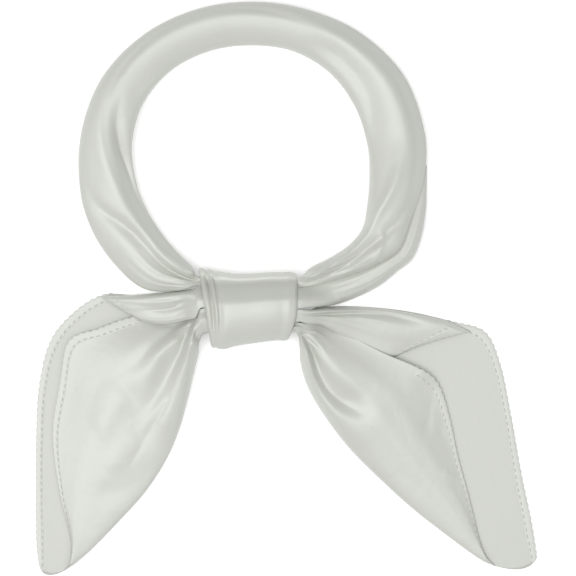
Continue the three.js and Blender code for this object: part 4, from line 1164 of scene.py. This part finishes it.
class KERCHIEF_OT_stage(bpy.types.Operator):
    """Makes the floor, the soft lights and the camera"""
    bl_idname = "kerchief.stage"
    bl_label = "Stage"

    def execute(self, context):
        stage = context.scene.kerchief_stage
        self.floor(stage)
        self.lights(stage)
        self.camera(stage, worked_out().shift)
        context.scene.view_settings.view_transform = "Standard"
        return {"FINISHED"}

    def place(self, name, data):
        """A new object in the scene"""
        thing = bpy.data.objects.new(name, data)
        bpy.context.scene.collection.objects.link(thing)
        return thing

    def floor(self, stage):
        """A plain pale floor"""
        half = stage.floor_size / 2
        mesh = bpy.data.meshes.new("floor")
        corners = [(-half, -half, 0), (half, -half, 0), (half, half, 0), (-half, half, 0)]
        mesh.from_pydata(corners, [], [(0, 1, 2, 3)])
        finish = Finish("floor")
        finish.surface(Base_Color=(*stage.floor_colour, 1), Roughness=0.8, Specular_IOR_Level=0.2,
                       Emission_Color=(1, 1, 1, 1), Emission_Strength=stage.floor_glow)
        mesh.materials.append(finish.material)
        floor = self.place("floor", mesh)
        floor.location.z = -FLOOR_DROP

    def lights(self, stage):
        """Soft lights round the kerchief, stronger on its left, so that the satin shines on its slopes"""
        for row in LIGHTS:
            light = bpy.data.lights.new(row["name"], "AREA")
            light.energy = row["power"]
            light.size = row["size"]
            lamp = self.place(row["name"], light)
            lamp.location = (row["x"], row["y"], row["z"])
            lamp.rotation_euler = Vector(lamp.location).to_track_quat("Z", "Y").to_euler()
            lamp.visible_camera = False
        world = bpy.data.worlds.new("studio")
        bpy.context.scene.world = world
        world.use_nodes = True
        background = world.node_tree.nodes["Background"].inputs
        background["Color"].default_value = (1, 1, 1, 1)
        background["Strength"].default_value = stage.surround

    def camera(self, stage, knot):
        """The camera looks straight down, as in the photograph"""
        camera = bpy.data.cameras.new("camera")
        camera.lens = camera.sensor_width * stage.camera_height / stage.view_width
        camera.clip_end = 20
        holder = self.place("camera", camera)
        holder.location = (knot[0] + stage.view_x, knot[1] + stage.view_y, stage.camera_height)
        bpy.context.scene.camera = holder


class KERCHIEF_PT_panel(bpy.types.Panel):
    """The neckerchief's pieces and its stage"""
    bl_label = "Neckerchief"
    bl_idname = "KERCHIEF_PT_panel"
    bl_space_type = "VIEW_3D"
    bl_region_type = "UI"
    bl_category = "Neckerchief"

    def draw(self, context):
        for name in GROUPS:
            group = getattr(context.scene, name)
            for setting in group.__annotations__:
                self.layout.prop(group, setting)
        for operator in OPERATORS:
            self.layout.operator(operator.bl_idname)


GROUPS = {
    "kerchief_sizes": KerchiefSizes,
    "kerchief_colours": KerchiefColours,
    "kerchief_stage": StageSettings,
}
OPERATORS = (
    KERCHIEF_OT_stage,
    KERCHIEF_OT_band,
    KERCHIEF_OT_under_fold,
    KERCHIEF_OT_knot,
    KERCHIEF_OT_hems,
    KERCHIEF_OT_tails,
    KERCHIEF_OT_flaps,
)


def register():
    for kind in (*GROUPS.values(), *OPERATORS, KERCHIEF_PT_panel):
        bpy.utils.register_class(kind)
    for name, kind in GROUPS.items():
        setattr(bpy.types.Scene, name, PointerProperty(type=kind))


def unregister():
    for name in GROUPS:
        delattr(bpy.types.Scene, name)
    for kind in reversed((*GROUPS.values(), *OPERATORS, KERCHIEF_PT_panel)):
        bpy.utils.unregister_class(kind)


def main():
    """Makes everything"""
    register()
    bpy.ops.kerchief.stage()
    bpy.ops.kerchief.band()
    bpy.ops.kerchief.under_fold()
    bpy.ops.kerchief.knot()
    bpy.ops.kerchief.hems()
    bpy.ops.kerchief.tails()
    bpy.ops.kerchief.flaps()


if __name__ == "__main__":
    main()
